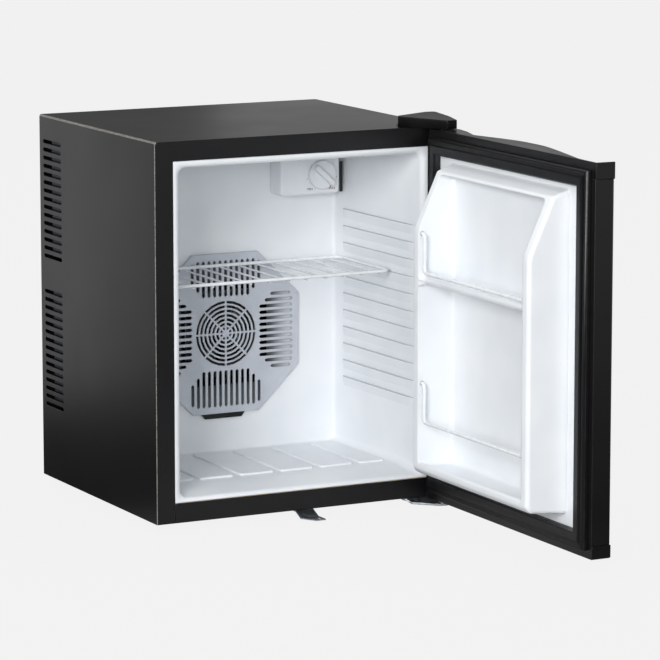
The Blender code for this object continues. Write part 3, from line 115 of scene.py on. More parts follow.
def spreadGloss(tree, shader, pattern, roughness, ends=(0.3, 0.7)):
    # the roughness goes from its first value to its second as the pattern passes between its ends
    spread = addNode(tree, "MapRange", {"Value": pattern, "From Min": ends[0], "From Max": ends[1],
                                        "To Min": roughness[0], "To Max": roughness[1]})
    tree.links.new(spread.outputs["Result"], shader.inputs["Roughness"])


# Materials, each from what the real one is

powderCoat = {"base": "0c0c0e", "cloudy": "0f0f11", "wearAndHighlight": "3a3a3d", "foldHighlight": "8f8c86", "peel": 1.1,
              "grit": 0.3, "cloud": 90.0, "foldWidth": (0.8, 2.4), "foldSpot": 2.2, "scuff": 7.0,
              "edge": 0.8, "roughness": (0.33, 0.36)}


def foldHighlightLine(tree, where, width, spot):
    # 1 along the side's folds to the front and the top, where a painted highlight stands for the light that
    # the folds catch;
    # the door shares the coat and has no such folds, so nothing ahead of the cabinet counts
    clearance = 5  # mm, less than the gap between the cabinet's front and the door

    def beyond(value, limit):
        return addNode(tree, "Math", {0: value, 1: limit}, operation="GREATER_THAN").outputs[0]

    axes = addNode(tree, "SeparateXYZ", {"Vector": where}).outputs
    side = addNode(tree, "Math", {0: axes["X"]}, operation="ABSOLUTE").outputs[0]
    ahead = addNode(tree, "Math", {0: axes["Y"], 1: -1.0}, operation="MULTIPLY").outputs[0]
    lines = []
    for value, limit, reach in ((ahead, -cabinet["front"], width[0]),
                                (axes["Z"], cabinet["top"], width[1])):
        edge = beyond(side, cabinet["halfWidth"] / mm - reach)
        lines.append(addNode(tree, "Math", {0: edge, 1: beyond(value, limit / mm - reach)},
                             operation="MULTIPLY").outputs[0])
    either = addNode(tree, "Math", {0: lines[0], 1: lines[1]}, operation="MAXIMUM").outputs[0]
    ofShell = addNode(tree, "Math", {0: ahead, 1: -cabinet["front"] / mm + clearance},
                      operation="LESS_THAN").outputs[0]
    both = addNode(tree, "Math", {0: either, 1: ofShell}, operation="MULTIPLY")
    spots = addNode(tree, "TexNoise", {"Vector": where, "Scale": 1 / spot, "Detail": 2.0}).outputs["Fac"]
    broken = addNode(tree, "MapRange", {"Value": spots, "From Min": 0.36, "From Max": 0.60, "To Min": 0.45})
    return addNode(tree, "Math", {0: both.outputs[0], 1: broken.outputs["Result"]},
                   operation="MULTIPLY").outputs[0]


def makePowderCoat():
    # powder-coated steel: an orange peel of about 1 mm softens what the sheet mirrors
    look = powderCoat
    material, tree, shader, where = startMaterial("powder_coated_steel")
    cloud = addNode(tree, "TexNoise", {"Vector": where, "Scale": 1 / look["cloud"],
                                       "Detail": 3.0}).outputs["Fac"]
    peel = addNode(tree, "TexNoise", {"Vector": where, "Scale": 1 / look["peel"],
                                      "Detail": 2.0}).outputs["Fac"]
    grit = addNode(tree, "TexNoise", {"Vector": where, "Scale": 1 / look["grit"],
                                      "Detail": 1.0}).outputs["Fac"]
    scuff = addNode(tree, "TexNoise", {"Vector": where, "Scale": 1 / look["scuff"], "Detail": 4.0,
                                       "Roughness": 0.7}).outputs["Fac"]
    edge = relief(tree, shader, look["edge"], [(peel, 0.05, 0.30), (grit, 0.02, 0.25)])
    base = addNode(tree, "ValToRGB", {"Fac": cloud}, [(0.35, look["base"]),
                                                      (0.65, look["cloudy"])]).outputs["Color"]
    wear = edgeWear(tree, edge, scuff)
    worn = addNode(tree, "Mix", {0: wear, 6: base, 7: linear(look["wearAndHighlight"])}, data_type="RGBA").outputs[2]
    # painted highlight: a pale, broken line laid over the folds
    wearAndHighlight = addNode(tree, "Mix", {0: foldHighlightLine(tree, where, look["foldWidth"], look["foldSpot"]), 6: worn,
                                   7: linear(look["foldHighlight"])},
                     data_type="RGBA").outputs[2]
    tree.links.new(wearAndHighlight, shader.inputs["Base Color"])
    spreadGloss(tree, shader, cloud, look["roughness"])
    return material


blackAbs = {"base": "070708", "flow": "0c0c0e", "wearAndHighlight": "2e2e32", "grain": 0.5, "flowLength": 25.0,
            "edge": 0.7, "roughness": (0.29, 0.36)}


def makeBlackAbs(name="black_moulded_abs", mirror=0.5):
    # moulded ABS: a spark-eroded grain keeps its highlights soft, and flow lines run faintly through it;
    # the grain is drawn coarser than a real one, so that it shows
    look = blackAbs
    material, tree, shader, where = startMaterial(name)
    grain = addNode(tree, "TexNoise", {"Vector": where, "Scale": 1 / look["grain"], "Detail": 2.0,
                                       "Roughness": 0.6}).outputs["Fac"]
    along = addNode(tree, "VectorMath", {0: where, 1: (1, 0.3, 1)}, operation="MULTIPLY").outputs[0]
    flow = addNode(tree, "TexNoise", {"Vector": along, "Scale": 1 / look["flowLength"],
                                      "Detail": 2.0}).outputs["Fac"]
    edge = relief(tree, shader, look["edge"], [(grain, 0.02, 0.3)])
    base = addNode(tree, "ValToRGB", {"Fac": flow}, [(0.35, look["base"]),
                                                     (0.65, look["flow"])]).outputs["Color"]
    wear = edgeWear(tree, edge, flow)
    worn = addNode(tree, "Mix", {0: wear, 6: base, 7: linear(look["wearAndHighlight"])}, data_type="RGBA").outputs[2]
    tree.links.new(worn, shader.inputs["Base Color"])
    shader.inputs["Specular IOR Level"].default_value = mirror
    spreadGloss(tree, shader, flow, look["roughness"])
    return material


whiteStyrene = {"base": "eaedf0", "thin": "e4e8ec", "creaseShade": "c2c8cf", "wave": 55.0, "grain": 0.7,
                "edge": 2.5, "creaseReach": 0.005, "creaseEnds": (0.05, 0.50), "bleed": 0.05,
                "bleedReach": 0.003, "roughness": (0.29, 0.33)}


def makeWhiteStyrene(name="vacuum_formed_polystyrene", edge=None, topShade=None):
    # vacuum-formed polystyrene: cool white and satin, with slow waves, and painted shade that makes the
    # creases slightly greyer
    look = whiteStyrene
    material, tree, shader, where = startMaterial(name)
    wave = addNode(tree, "TexNoise", {"Vector": where, "Scale": 1 / look["wave"],
                                      "Detail": 1.0}).outputs["Fac"]
    grain = addNode(tree, "TexNoise", {"Vector": where, "Scale": 1 / look["grain"],
                                       "Detail": 2.0}).outputs["Fac"]
    relief(tree, shader, edge or look["edge"], [(wave, 0.15, 0.12), (grain, 0.006, 0.25)])
    base = addNode(tree, "ValToRGB", {"Fac": wave}, [(0.3, look["thin"]),
                                                     (0.7, look["base"])]).outputs["Color"]
    # painted shade: the colour turns greyer where ambient occlusion finds a crease
    openness = addNode(tree, "AmbientOcclusion", {"Distance": look["creaseReach"]}, samples=4).outputs["AO"]
    deepest, clear = look["creaseEnds"]
    lit = addNode(tree, "MapRange", {"Value": openness, "From Min": deepest,
                                     "From Max": clear}).outputs["Result"]
    colour = addNode(tree, "Mix", {0: lit, 6: linear(look["creaseShade"]), 7: base}, data_type="RGBA").outputs[2]
    if topShade:  # painted shade: level faces are greyer, as the ledges' tops lie in shade
        facing = addNode(tree, "SeparateXYZ",
                         {"Vector": addNode(tree, "NewGeometry").outputs["Normal"]}).outputs["Z"]
        level = addNode(tree, "MapRange", {"Value": facing, "From Min": 0.35,
                                           "From Max": 0.75}).outputs["Result"]
        colour = addNode(tree, "Mix", {0: level, 6: colour, 7: linear(topShade)}, data_type="RGBA").outputs[2]
    tree.links.new(colour, shader.inputs["Base Color"])
    spreadGloss(tree, shader, wave, look["roughness"])
    shader.inputs["Subsurface Weight"].default_value = look["bleed"]
    shader.inputs["Subsurface Radius"].default_value = [look["bleedReach"]] * 3
    return material


silverPaint = {"base": "c4c9d1", "dim": "bcc1c9", "flake": "e2e5ea", "flakeSize": 0.5, "cloud": 35.0,
               "grain": 0.4, "roughness": (0.30, 0.42)}


def makeSilverPaint():
    # silver paint on moulded ABS: aluminium flakes glint in a cool grey; the flakes are drawn coarser
    # than real ones, so that they show
    look = silverPaint
    material, tree, shader, where = startMaterial("silver_painted_abs")
    cells = addNode(tree, "TexVoronoi", {"Vector": where, "Scale": 1 / look["flakeSize"]}).outputs["Color"]
    glint = addNode(tree, "SeparateColor", {"Color": cells}).outputs["Red"]
    cloud = addNode(tree, "TexNoise", {"Vector": where, "Scale": 1 / look["cloud"],
                                       "Detail": 2.0}).outputs["Fac"]
    grain = addNode(tree, "TexNoise", {"Vector": where, "Scale": 1 / look["grain"],
                                       "Detail": 2.0}).outputs["Fac"]
    relief(tree, shader, 0.6, [(grain, 0.01, 0.3)])
    base = addNode(tree, "ValToRGB", {"Fac": cloud}, [(0.35, look["dim"]),
                                                      (0.65, look["base"])]).outputs["Color"]
    few = addNode(tree, "MapRange", {"Value": glint, "From Min": 0.7, "To Max": 0.35}).outputs["Result"]
    colour = addNode(tree, "Mix", {0: few, 6: base, 7: linear(look["flake"])}, data_type="RGBA").outputs[2]
    tree.links.new(colour, shader.inputs["Base Color"])
    spreadGloss(tree, shader, glint, look["roughness"], (0.0, 1.0))
    shader.inputs["Metallic"].default_value = 0.05
    return material


dippedWire = {"base": "eceff2", "thin": "dfe3e7", "wave": 9.0, "roughness": (0.20, 0.26)}


def makeDippedWire():
    # white plastic dipped over steel wire: glossy, and a little uneven along its length
    look = dippedWire
    material, tree, shader, where = startMaterial("plastic_dipped_wire")
    wave = addNode(tree, "TexNoise", {"Vector": where, "Scale": 1 / look["wave"],
                                      "Detail": 2.0}).outputs["Fac"]
    grain = addNode(tree, "TexNoise", {"Vector": where, "Scale": 1 / 0.5, "Detail": 2.0}).outputs["Fac"]
    relief(tree, shader, 0.8, [(wave, 0.03, 0.3), (grain, 0.005, 0.3)])
    base = addNode(tree, "ValToRGB", {"Fac": wave}, [(0.3, look["thin"]),
                                                     (0.7, look["base"])]).outputs["Color"]
    tree.links.new(base, shader.inputs["Base Color"])
    spreadGloss(tree, shader, wave, look["roughness"])
    shader.inputs["Coat Weight"].default_value = 0.25
    return material


zincPlate = {"dull": "9fa6ad", "mid": "b4bac0", "bright": "cbd0d5", "spangle": 5.0,
             "roughness": (0.29, 0.42)}
# a darker copy of the zinc plate: painted shade
shadedZinc = {"dull": "2b3138", "mid": "333a42", "bright": "3d454e", "spangle": 5.0,
            "roughness": (0.38, 0.50)}


def makeZincPlate(name="zinc_plated_steel", look=zincPlate):
    # zinc-plated steel: bluish, with a spangle of a few millimetres and faint rolling lines
    material, tree, shader, where = startMaterial(name)
    cells = addNode(tree, "TexVoronoi", {"Vector": where, "Scale": 1 / look["spangle"]}).outputs["Color"]
    tone = addNode(tree, "SeparateColor", {"Color": cells}).outputs["Green"]
    along = addNode(tree, "VectorMath", {0: where, 1: (0.04, 1, 1)}, operation="MULTIPLY").outputs[0]
    rolled = addNode(tree, "TexNoise", {"Vector": along, "Scale": 1 / 0.5, "Detail": 3.0}).outputs["Fac"]
    relief(tree, shader, 0.4, [(rolled, 0.015, 0.3)])
    base = addNode(tree, "ValToRGB", {"Fac": tone}, [(0.0, look["dull"]), (1.0, look["bright"]),
                                                     (0.5, look["mid"])]).outputs["Color"]
    tree.links.new(base, shader.inputs["Base Color"])
    spreadGloss(tree, shader, tone, look["roughness"], (0.0, 1.0))
    shader.inputs["Metallic"].default_value = 1.0
    return material


def makeExtrudedAluminium():
    # extruded aluminium: die lines run along the fins, and a grey haze dulls it in patches
    material, tree, shader, where = startMaterial("extruded_aluminium")
    along = addNode(tree, "VectorMath", {0: where, 1: (1, 1, 0.02)}, operation="MULTIPLY").outputs[0]
    lines = addNode(tree, "TexNoise", {"Vector": along, "Scale": 1 / 0.35, "Detail": 3.0}).outputs["Fac"]
    haze = addNode(tree, "TexNoise", {"Vector": where, "Scale": 1 / 18, "Detail": 3.0}).outputs["Fac"]
    relief(tree, shader, 0.3, [(lines, 0.03, 0.4)])
    base = addNode(tree, "ValToRGB", {"Fac": haze}, [(0.3, "a9acaf"), (0.7, "c2c5c8")]).outputs["Color"]
    tree.links.new(base, shader.inputs["Base Color"])
    spreadGloss(tree, shader, lines, (0.28, 0.44))
    shader.inputs["Metallic"].default_value = 1.0
    return material


softPvc = {"base": "070708", "bloom": "0e0e10", "roughness": (0.32, 0.44)}


def makeSoftPvc():
    # extruded soft PVC and moulded rubber: a dull bloom lies over the black
    look = softPvc
    material, tree, shader, where = startMaterial("soft_black_pvc")
    bloom = addNode(tree, "TexNoise", {"Vector": where, "Scale": 1 / 12, "Detail": 4.0,
                                       "Roughness": 0.6}).outputs["Fac"]
    grain = addNode(tree, "TexNoise", {"Vector": where, "Scale": 1 / 0.4, "Detail": 2.0}).outputs["Fac"]
    relief(tree, shader, 0.5, [(grain, 0.015, 0.3), (bloom, 0.04, 0.12)])
    base = addNode(tree, "ValToRGB", {"Fac": bloom}, [(0.3, look["base"]),
                                                      (0.75, look["bloom"])]).outputs["Color"]
    tree.links.new(base, shader.inputs["Base Color"])
    spreadGloss(tree, shader, bloom, look["roughness"])
    return material


def makeUrethaneFoam():
    # poured urethane foam: a tan skin over cells of about a millimetre
    material, tree, shader, where = startMaterial("poured_urethane_foam")
    cells = addNode(tree, "TexVoronoi", {"Vector": where, "Scale": 1 / 0.9}).outputs["Distance"]
    stain = addNode(tree, "TexNoise", {"Vector": where, "Scale": 1 / 40, "Detail": 4.0}).outputs["Fac"]
    relief(tree, shader, 1.0, [(cells, 0.4, 0.5)])
    base = addNode(tree, "ValToRGB", {"Fac": stain}, [(0.3, "cdb37a"), (0.7, "e0cb96")]).outputs["Color"]
    tree.links.new(base, shader.inputs["Base Color"])
    spreadGloss(tree, shader, cells, (0.75, 0.95), (0.0, 1.0))
    return material


def makeNylon():
    # turned nylon: waxy off-white, with fine tool rings
    material, tree, shader, where = startMaterial("turned_nylon")
    along = addNode(tree, "VectorMath", {0: where, 1: (1, 1, 5)}, operation="MULTIPLY").outputs[0]
    rings = addNode(tree, "TexNoise", {"Vector": along, "Scale": 1 / 0.4, "Detail": 3.0}).outputs["Fac"]
    tone = addNode(tree, "TexNoise", {"Vector": where, "Scale": 1 / 4}).outputs["Fac"]
    relief(tree, shader, 0.2, [(rings, 0.02, 0.4)])
    base = addNode(tree, "ValToRGB", {"Fac": tone}, [(0.3, "cfcdc2"), (0.7, "dedcd2")]).outputs["Color"]
    tree.links.new(base, shader.inputs["Base Color"])
    spreadGloss(tree, shader, rings, (0.40, 0.55))
    return material


def makeAlumina():
    # fired alumina: matt white with a fine speck
    material, tree, shader, where = startMaterial("fired_alumina")
    speck = addNode(tree, "TexNoise", {"Vector": where, "Scale": 1 / 0.5, "Detail": 3.0,
                                       "Roughness": 0.7}).outputs["Fac"]
    relief(tree, shader, 0.2, [(speck, 0.01, 0.5)])
    base = addNode(tree, "ValToRGB", {"Fac": speck}, [(0.3, "dcdad3"), (0.7, "eeede8")]).outputs["Color"]
    tree.links.new(base, shader.inputs["Base Color"])
    spreadGloss(tree, shader, speck, (0.35, 0.55))
    return material


def makeSolderMask():
    # glass-fibre board under green solder mask: copper tracks show through and stand up a little
    material, tree, shader, where = startMaterial("solder_masked_board")
    tracks = addNode(tree, "TexBrick", {"Vector": where, "Scale": 0.16, "Mortar Size": 0.06,
                                        "Color1": (0, 0, 0, 1), "Color2": (0, 0, 0, 1),
                                        "Mortar": (1, 1, 1, 1)}).outputs["Color"]
    relief(tree, shader, 0.2, [(tracks, 0.04, 0.6)])
    colour = addNode(tree, "Mix", {0: tracks, 6: linear("0e4a26"), 7: linear("2c7a48")},
                     data_type="RGBA").outputs[2]
    tree.links.new(colour, shader.inputs["Base Color"])
    tone = addNode(tree, "TexNoise", {"Vector": where, "Scale": 1 / 5}).outputs["Fac"]
    spreadGloss(tree, shader, tone, (0.29, 0.40))
    return material


def makeInk(name, dark, light):
    # pad-printed ink: even, with a slight speckle from the pad
    material, tree, shader, where = startMaterial(name)
    speck = addNode(tree, "TexNoise", {"Vector": where, "Scale": 1 / 0.25, "Detail": 2.0}).outputs["Fac"]
    base = addNode(tree, "ValToRGB", {"Fac": speck}, [(0.35, dark), (0.65, light)]).outputs["Color"]
    tree.links.new(base, shader.inputs["Base Color"])
    spreadGloss(tree, shader, speck, (0.40, 0.55))
    return material


finishes = {
    "black_coated_steel": makePowderCoat(),
    "black_plastic": makeBlackAbs(),
    "white_polystyrene": makeWhiteStyrene(),
    "silver_plastic": makeSilverPaint(),
    "white_coated_wire": makeDippedWire(),
    "zinc_plated_steel": makeZincPlate(),
    "aluminium": makeExtrudedAluminium(),
    "rubber": makeSoftPvc(),
    "polyurethane_foam": makeUrethaneFoam(),
    "nylon": makeNylon(),
    "ceramic": makeAlumina(),
    "circuit_board": makeSolderMask(),
}
slotOf = {entry["node"]: entry["material_slot"] for entry in frame["record"]["subparts"]}
bodyOf = {name: body for body, names in frame["record"]["behaviour"]["bodies"].items() for name in names}
for name, slotName in slotOf.items():
    nodes[name].data.materials.clear()
    nodes[name].data.materials.append(finishes[slotName])
print("materials are on the solids")


# Dressed copies of the solids: welded, with small real bevels and smooth shading

dressing = {  # edge width in mm, segments, the angle in degrees above which an edge is rounded
    "outer_shell": (0.4, 2, 40), "front_bottom_rail": (0.3, 1, 40), "base_pan": (0.3, 1, 40),
    "fan_cover": (0.4, 2, 40), "drip_outlet": (0.6, 2, 40),
    "cold_fan_frame": (0.5, 2, 40), "cold_fan_rotor": (0.3, 1, 40), "rear_cover": (0.2, 1, 40),
    "mains_inlet": (0.4, 2, 40), "thermostat_housing": (0.8, 2, 30), "thermostat_knob": (0.5, 2, 30),
    "wire_shelf": (0.0, 0, 50), "top_hinge_plate": (0.3, 1, 40),
    "bottom_hinge_plate": (0.3, 1, 40), "front_fixing_bracket": (0.3, 2, 30),
    "foot_front_left": (0.8, 2, 30), "foot_front_right": (0.8, 2, 30),
    "foot_rear_left": (0.8, 2, 30), "foot_rear_right": (0.8, 2, 30),
    "door_outer_panel": (0.3, 1, 40), "door_top_cap": (0.7, 2, 35), "door_bottom_cap": (0.7, 2, 35),
    "door_gasket": (0.0, 0, 50), "door_liner": (1.2, 2, 30),
    "upper_retaining_rod": (0.0, 0, 50), "lower_retaining_rod": (0.0, 0, 50),
    "top_hinge_bush": (0.2, 1, 40), "bottom_hinge_bush": (0.2, 1, 40),
    "hot_fan_frame": (0.5, 2, 40), "hot_fan_rotor": (0.3, 1, 40),
}


def addPiece(name, work, slotName, body, replaced=(), angle=35, finish=None, thickness=0.0, edge=(0.0, 0)):
    # a mesh as a piece of the scene: shaded smooth, riding on its body, with its own slot's finish
    mesh = bpy.data.meshes.new(name)
    work.to_mesh(mesh)
    work.free()
    for face in mesh.polygons:
        face.use_smooth = True
    mesh.set_sharp_from_angle(angle=math.radians(angle))
    mesh.materials.clear()
    mesh.materials.append(finish or finishes[slotName])
    piece = bpy.data.objects.new(name, mesh)
    scene.collection.objects.link(piece)
    if thickness:
        wall = piece.modifiers.new("wall", "SOLIDIFY")
        wall.thickness = thickness
        wall.offset = -1
    width, segments = edge
    if width:
        rounding = piece.modifiers.new("roundedEdges", "BEVEL")
        rounding.width = width * mm
        rounding.segments = segments
        rounding.limit_method = "ANGLE"
        rounding.angle_limit = math.radians(angle)
        rounding.use_clamp_overlap = True
        rounding.harden_normals = False
    even = piece.modifiers.new("evenNormals", "WEIGHTED_NORMAL")
    even.keep_sharp = True
    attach(piece, body)
    if replaced:
        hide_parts(*replaced)
    return piece


def dress(name):
    width, segments, angle = dressing[name]
    work = bmesh.new()
    work.from_mesh(nodes[name].data)
    bmesh.ops.remove_doubles(work, verts=work.verts, dist=1e-6)
    bmesh.ops.dissolve_limit(work, angle_limit=math.radians(0.4), verts=work.verts, edges=work.edges)
    return addPiece(name + "_dressed", work, slotOf[name], bodyOf[name], (name,), angle,
                    edge=(width, segments))


for name in dressing:
    dress(name)
# painted shade: the wall behind the cover's slots gets the darker copy of the zinc plate
nodes["compartment_wall"].data.materials[0] = makeZincPlate("shaded_zinc_plate", shadedZinc)
print("solids are dressed")


# Shapes that several pieces use

def roundedLoop(left, low, right, high, radius, steps=8):
    # points round a rectangle with rounded corners, anticlockwise
    loop = []
    for centreX, centreZ, start in ((right - radius, low + radius, -90), (right - radius, high - radius, 0),
                                    (left + radius, high - radius, 90), (left + radius, low + radius, 180)):
        for step in range(steps + 1):
            turn = math.radians(start + 90 * step / steps)
            loop.append((centreX + radius * math.cos(turn), centreZ + radius * math.sin(turn)))
    return loop


def atDepth(depth):
    return cabinet["front"] + depth


def easeIn(share):
    share = min(1.0, max(0.0, share))
    return share * share * (3 - 2 * share)


def loft(work, rings, capped=False):
    # quads between rings of as many points, and faces over both ends where it is capped
    rows = [[work.verts.new(point) for point in ring] for ring in rings]
    for first, second in zip(rows, rows[1:]):
        for i in range(len(first)):
            j = (i + 1) % len(first)
            work.faces.new((first[i], second[i], second[j], first[j]))
    if capped:
        work.faces.new(rows[0])
        work.faces.new(rows[-1][::-1])


# Cavity: one vacuum-formed skin with a rolled lip, and the ledges and pads that are formed into it

cavity = {"frontHalf": 0.1664, "backHalf": 0.1602, "depth": 0.226, "floorFront": 0.0300,
          "floorBack": 0.0345, "slope": 0.060, "ceilingFront": 0.4364, "ceilingBack": 0.4345,
          "corner": 0.010, "fillet": 0.004, "lip": (0.1752, 0.0248, 0.4452), "lipDepth": 0.0078,
          "lipFlat": 0.0012, "lipFace": 0.0004, "lipReturn": 0.010, "lipEdge": 0.0005,
          "wall": 0.0010, "hole": (0.062, 0.068),
          "stations": (0.20, 0.16, 0.12, 0.09, 0.06, 0.052, 0.044, 0.036, 0.028, 0.020, 0.013)}
ledges = {"count": 11, "top": 0.3443, "pitch": 0.022, "reach": 0.0036, "drop": 0.0148, "nose": 0.0011,
          "sunk": 0.0007, "proud": 0.0002, "front": 0.012, "back": 0.204, "frontRamp": 0.024,
          "backRamp": 0.007, "stations": [0.08, 0.12, 0.16], "edge": 1.0, "topShade": "adb4bb"}
pads = {"pitch": 0.056, "width": 0.0465, "rise": 0.0025, "edge": 0.0017, "front": 0.072, "back": 0.214,
        "sideMargin": 0.0075, "sunk": 0.0006, "corner": 0.0035}


def cavityShape(depth):
    # half width, floor and ceiling at a depth from the front
    share = depth / cavity["depth"]
    half = cavity["frontHalf"] + (cavity["backHalf"] - cavity["frontHalf"]) * share
    rise = easeIn(depth / cavity["slope"])
    floor = cavity["floorFront"] + (cavity["floorBack"] - cavity["floorFront"]) * rise
    ceiling = cavity["ceilingFront"] + (cavity["ceilingBack"] - cavity["ceilingFront"]) * share
    return half, floor, ceiling


def makeCavitySkin():
    rings = []

    def addRing(depth, half, low, high, radius):
        rings.append([(x, atDepth(depth), z) for x, z in roundedLoop(-half, low, half, high, radius)])

    deep, fillet = cavity["depth"], cavity["fillet"]
    for step in range(5):
        turn = math.radians(90 * step / 4)
        inset = fillet * (1 - math.sin(turn))
        depth = deep - fillet * (1 - math.cos(turn))
        half, low, high = cavityShape(depth)
        addRing(depth, half - inset, low + inset, high - inset, cavity["corner"])
    holeHalf, holeRise = cavity["hole"]
    hole = []
    for x, y, z in rings[0]:
        hole.append((max(-holeHalf, min(holeHalf, x)), y,
                     max(coolerHeight - holeRise, min(coolerHeight + holeRise, z))))
    rings.insert(0, hole)
    for depth in cavity["stations"]:
        addRing(depth, *cavityShape(depth), cavity["corner"])
    inner = cavityShape(cavity["lipDepth"] + cavity["lipFace"])
    outer = cavity["lip"]
    bead = 1 - cavity["lipFlat"] / (outer[0] - inner[0])
    for step in range(9):
        turn = math.radians(90 * step / 8)
        share = bead * (1 - math.cos(turn))
        half, low, high = [a + (b - a) * share for a, b in zip(inner, outer)]
        addRing(cavity["lipFace"] + cavity["lipDepth"] * (1 - math.sin(turn)), half, low, high,
                cavity["corner"])
    soft = cavity["lipEdge"]
    half, low, high = outer
    addRing(cavity["lipFace"], half - soft, low + soft, high - soft, 2 * soft)
    addRing(cavity["lipFace"] + soft, half, low, high, 2 * soft)
    addRing(cavity["lipReturn"], half, low, high, 2 * soft)
    work = bmesh.new()
    loft(work, rings)
    bmesh.ops.remove_doubles(work, verts=work.verts, dist=1e-6)
    return addPiece("cavity_skin", work, "white_polystyrene", "cabinet", ("cavity_liner",), 40,
                    thickness=cavity["wall"])


def addLedges(work):
    ramp = 6
    front, back = ledges["front"], ledges["back"]
    stops = [front + ledges["frontRamp"] * k / ramp for k in range(ramp + 1)] + ledges["stations"]
    stops += [back - ledges["backRamp"] * (1 - k / ramp) for k in range(ramp + 1)]
    for side in (-1, 1):
        for number in range(ledges["count"]):
            level = ledges["top"] - number * ledges["pitch"]
            rings = []
            for depth in stops:
                rise = easeIn((depth - front) / ledges["frontRamp"])
                lift = rise * easeIn((back - depth) / ledges["backRamp"])
                wall = cavityShape(depth)[0]
                sunk = wall + ledges["sunk"]
                nose = wall + ledges["proud"] - (ledges["reach"] + ledges["proud"]) * lift
                radius = ledges["nose"]
                section = [(sunk, level - ledges["drop"]), (sunk, level)]
                for step in range(6):
                    turn = math.radians(90 + 100 * step / 5)
                    section.append((min(sunk, nose + radius + radius * math.cos(turn)),
                                    level - radius + radius * math.sin(turn)))
                rings.append([(side * x, atDepth(depth), z) for x, z in section])
            loft(work, rings, capped=True)


def addPads(work):
    first = -1.5 * pads["pitch"]
    spans = []
    for number in range(4):
        centre = first + number * pads["pitch"]
        spans.append((centre - pads["width"] / 2, centre + pads["width"] / 2))
    inner = pads["pitch"] - pads["width"] / 2 - first
    outer = cavity["backHalf"] - pads["sideMargin"]
    spans += [(inner, outer), (-outer, -inner)]
    level, edge = cavity["floorBack"], pads["edge"]
    for left, right in spans:
        steps = [(level - pads["sunk"], 0.0)]
        for step in range(5):
            turn = math.radians(90 * step / 4)
            steps.append((level + pads["rise"] - edge * (1 - math.sin(turn)), edge * (1 - math.cos(turn))))
        rings = []
        for z, inset in steps:
            outline = roundedLoop(left + inset, atDepth(pads["front"]) + inset, right - inset,
                                  atDepth(pads["back"]) - inset, pads["corner"], 4)
            rings.append([(x, y, z) for x, y in outline])
        loft(work, rings, capped=True)


def makeCavityForms(name, build, finish=None):
    work = bmesh.new()
    build(work)
    bmesh.ops.remove_doubles(work, verts=work.verts, dist=1e-7)
    bmesh.ops.recalc_face_normals(work, faces=work.faces)
    return addPiece(name, work, "white_polystyrene", "cabinet", angle=40, finish=finish)


makeCavitySkin()
# the ledges' level tops carry painted shade
makeCavityForms("cavity_ledges", addLedges, makeWhiteStyrene("ledge_top_shade_polystyrene", ledges["edge"],
                                                             ledges["topShade"]))
makeCavityForms("cavity_floor_pads", addPads)
print("cavity is formed")


# Recess behind the fan cover: a black lining that hides the foam's cut sides; its black is painted shade
# for the dark deep in the recess

lining = {"half": (0.0614, 0.0674), "corner": 0.002, "front": 0.2276, "back": 0.2636, "channel": 0.0222,
          "wall": 0.0004}


def makeRecessShadeLining():
    halfX, halfZ = lining["half"]
    outline = roundedLoop(-halfX, coolerHeight - halfZ, halfX, coolerHeight + halfZ, lining["corner"], 3)
    gap = lining["channel"]
    rings = [[(max(-gap, min(gap, x)), atDepth(lining["back"]),
               max(coolerHeight - gap, min(coolerHeight + gap, z)))
              for x, z in outline]]
    for depth in (lining["back"], lining["front"]):
        rings.append([(x, atDepth(depth), z) for x, z in outline])
    work = bmesh.new()
    loft(work, rings)
    bmesh.ops.remove_doubles(work, verts=work.verts, dist=1e-6)
    return addPiece("recess_shade_lining", work, "black_plastic", "cabinet", thickness=lining["wall"])


makeRecessShadeLining()


# Sheet round the recess, seen only through the cover's slots: flat, with painted shade where the real skin
# falls away

shade = {"half": 0.1015, "chamfer": 0.056, "front": 0.2253, "wall": 0.0003, "right": 31.0, "rise": 33.0,
         "least": 0.12, "gain": 0.16, "roughness": 0.4,
         "ramp": [(0.0, "26292d"), (0.25, "6a6f75"), (0.6, "b0b6bc"), (1.0, "dfe3e7")]}


def makeShadedLiner():
    # the same polystyrene with painted shade, darker toward the hole: the eye reads a slope where the skin
    # is pulled inward
    material, tree, shader, where = startMaterial("shaded_polystyrene")
    axes = addNode(tree, "SeparateXYZ", {"Vector": where}).outputs
    holeX, holeZ = [value / mm for value in lining["half"]]
    across = addNode(tree, "MapRange", {"Value": axes["X"], "From Min": holeX,
                                        "From Max": holeX + shade["right"]})
    height = addNode(tree, "Math", {0: axes["Z"], 1: coolerHeight / mm}, operation="SUBTRACT").outputs[0]
    away = addNode(tree, "Math", {0: height}, operation="ABSOLUTE").outputs[0]
    upright = addNode(tree, "MapRange", {"Value": away, "From Min": holeZ,
                                         "From Max": holeZ + shade["rise"],
                                         "To Min": shade["least"],
                                         "To Max": shade["least"] + shade["gain"]})
    tone = addNode(tree, "Math", {0: across.outputs["Result"], 1: upright.outputs["Result"]},
                   operation="MAXIMUM")
    colour = addNode(tree, "ValToRGB", {"Fac": tone.outputs[0]}, shade["ramp"]).outputs["Color"]
    tree.links.new(colour, shader.inputs["Base Color"])
    shader.inputs["Roughness"].default_value = shade["roughness"]
    return material


def makeShadedSheet():
    half, low = shade["half"], shade["half"] - shade["chamfer"]
    middle = (half + low) / 2
    quarter = [(half, low), (middle, middle), (low, half)]
    outline = []
    for turn in range(4):
        for x, z in quarter:
            for step in range(turn):
                x, z = -z, x
            outline.append((x, z))
    holeX, holeZ = lining["half"]
    rings = [[(max(-holeX, min(holeX, x)), atDepth(shade["front"]),
               coolerHeight + max(-holeZ, min(holeZ, z))) for x, z in outline],
             [(x, atDepth(shade["front"]), coolerHeight + z) for x, z in outline]]
    work = bmesh.new()
    loft(work, rings)
    return addPiece("recess_surround", work, "white_polystyrene", "cabinet", thickness=shade["wall"],
                    finish=makeShadedLiner())


makeShadedSheet()


# Cap over the top hinge: a tall face runs from its left corner to the narrow front end

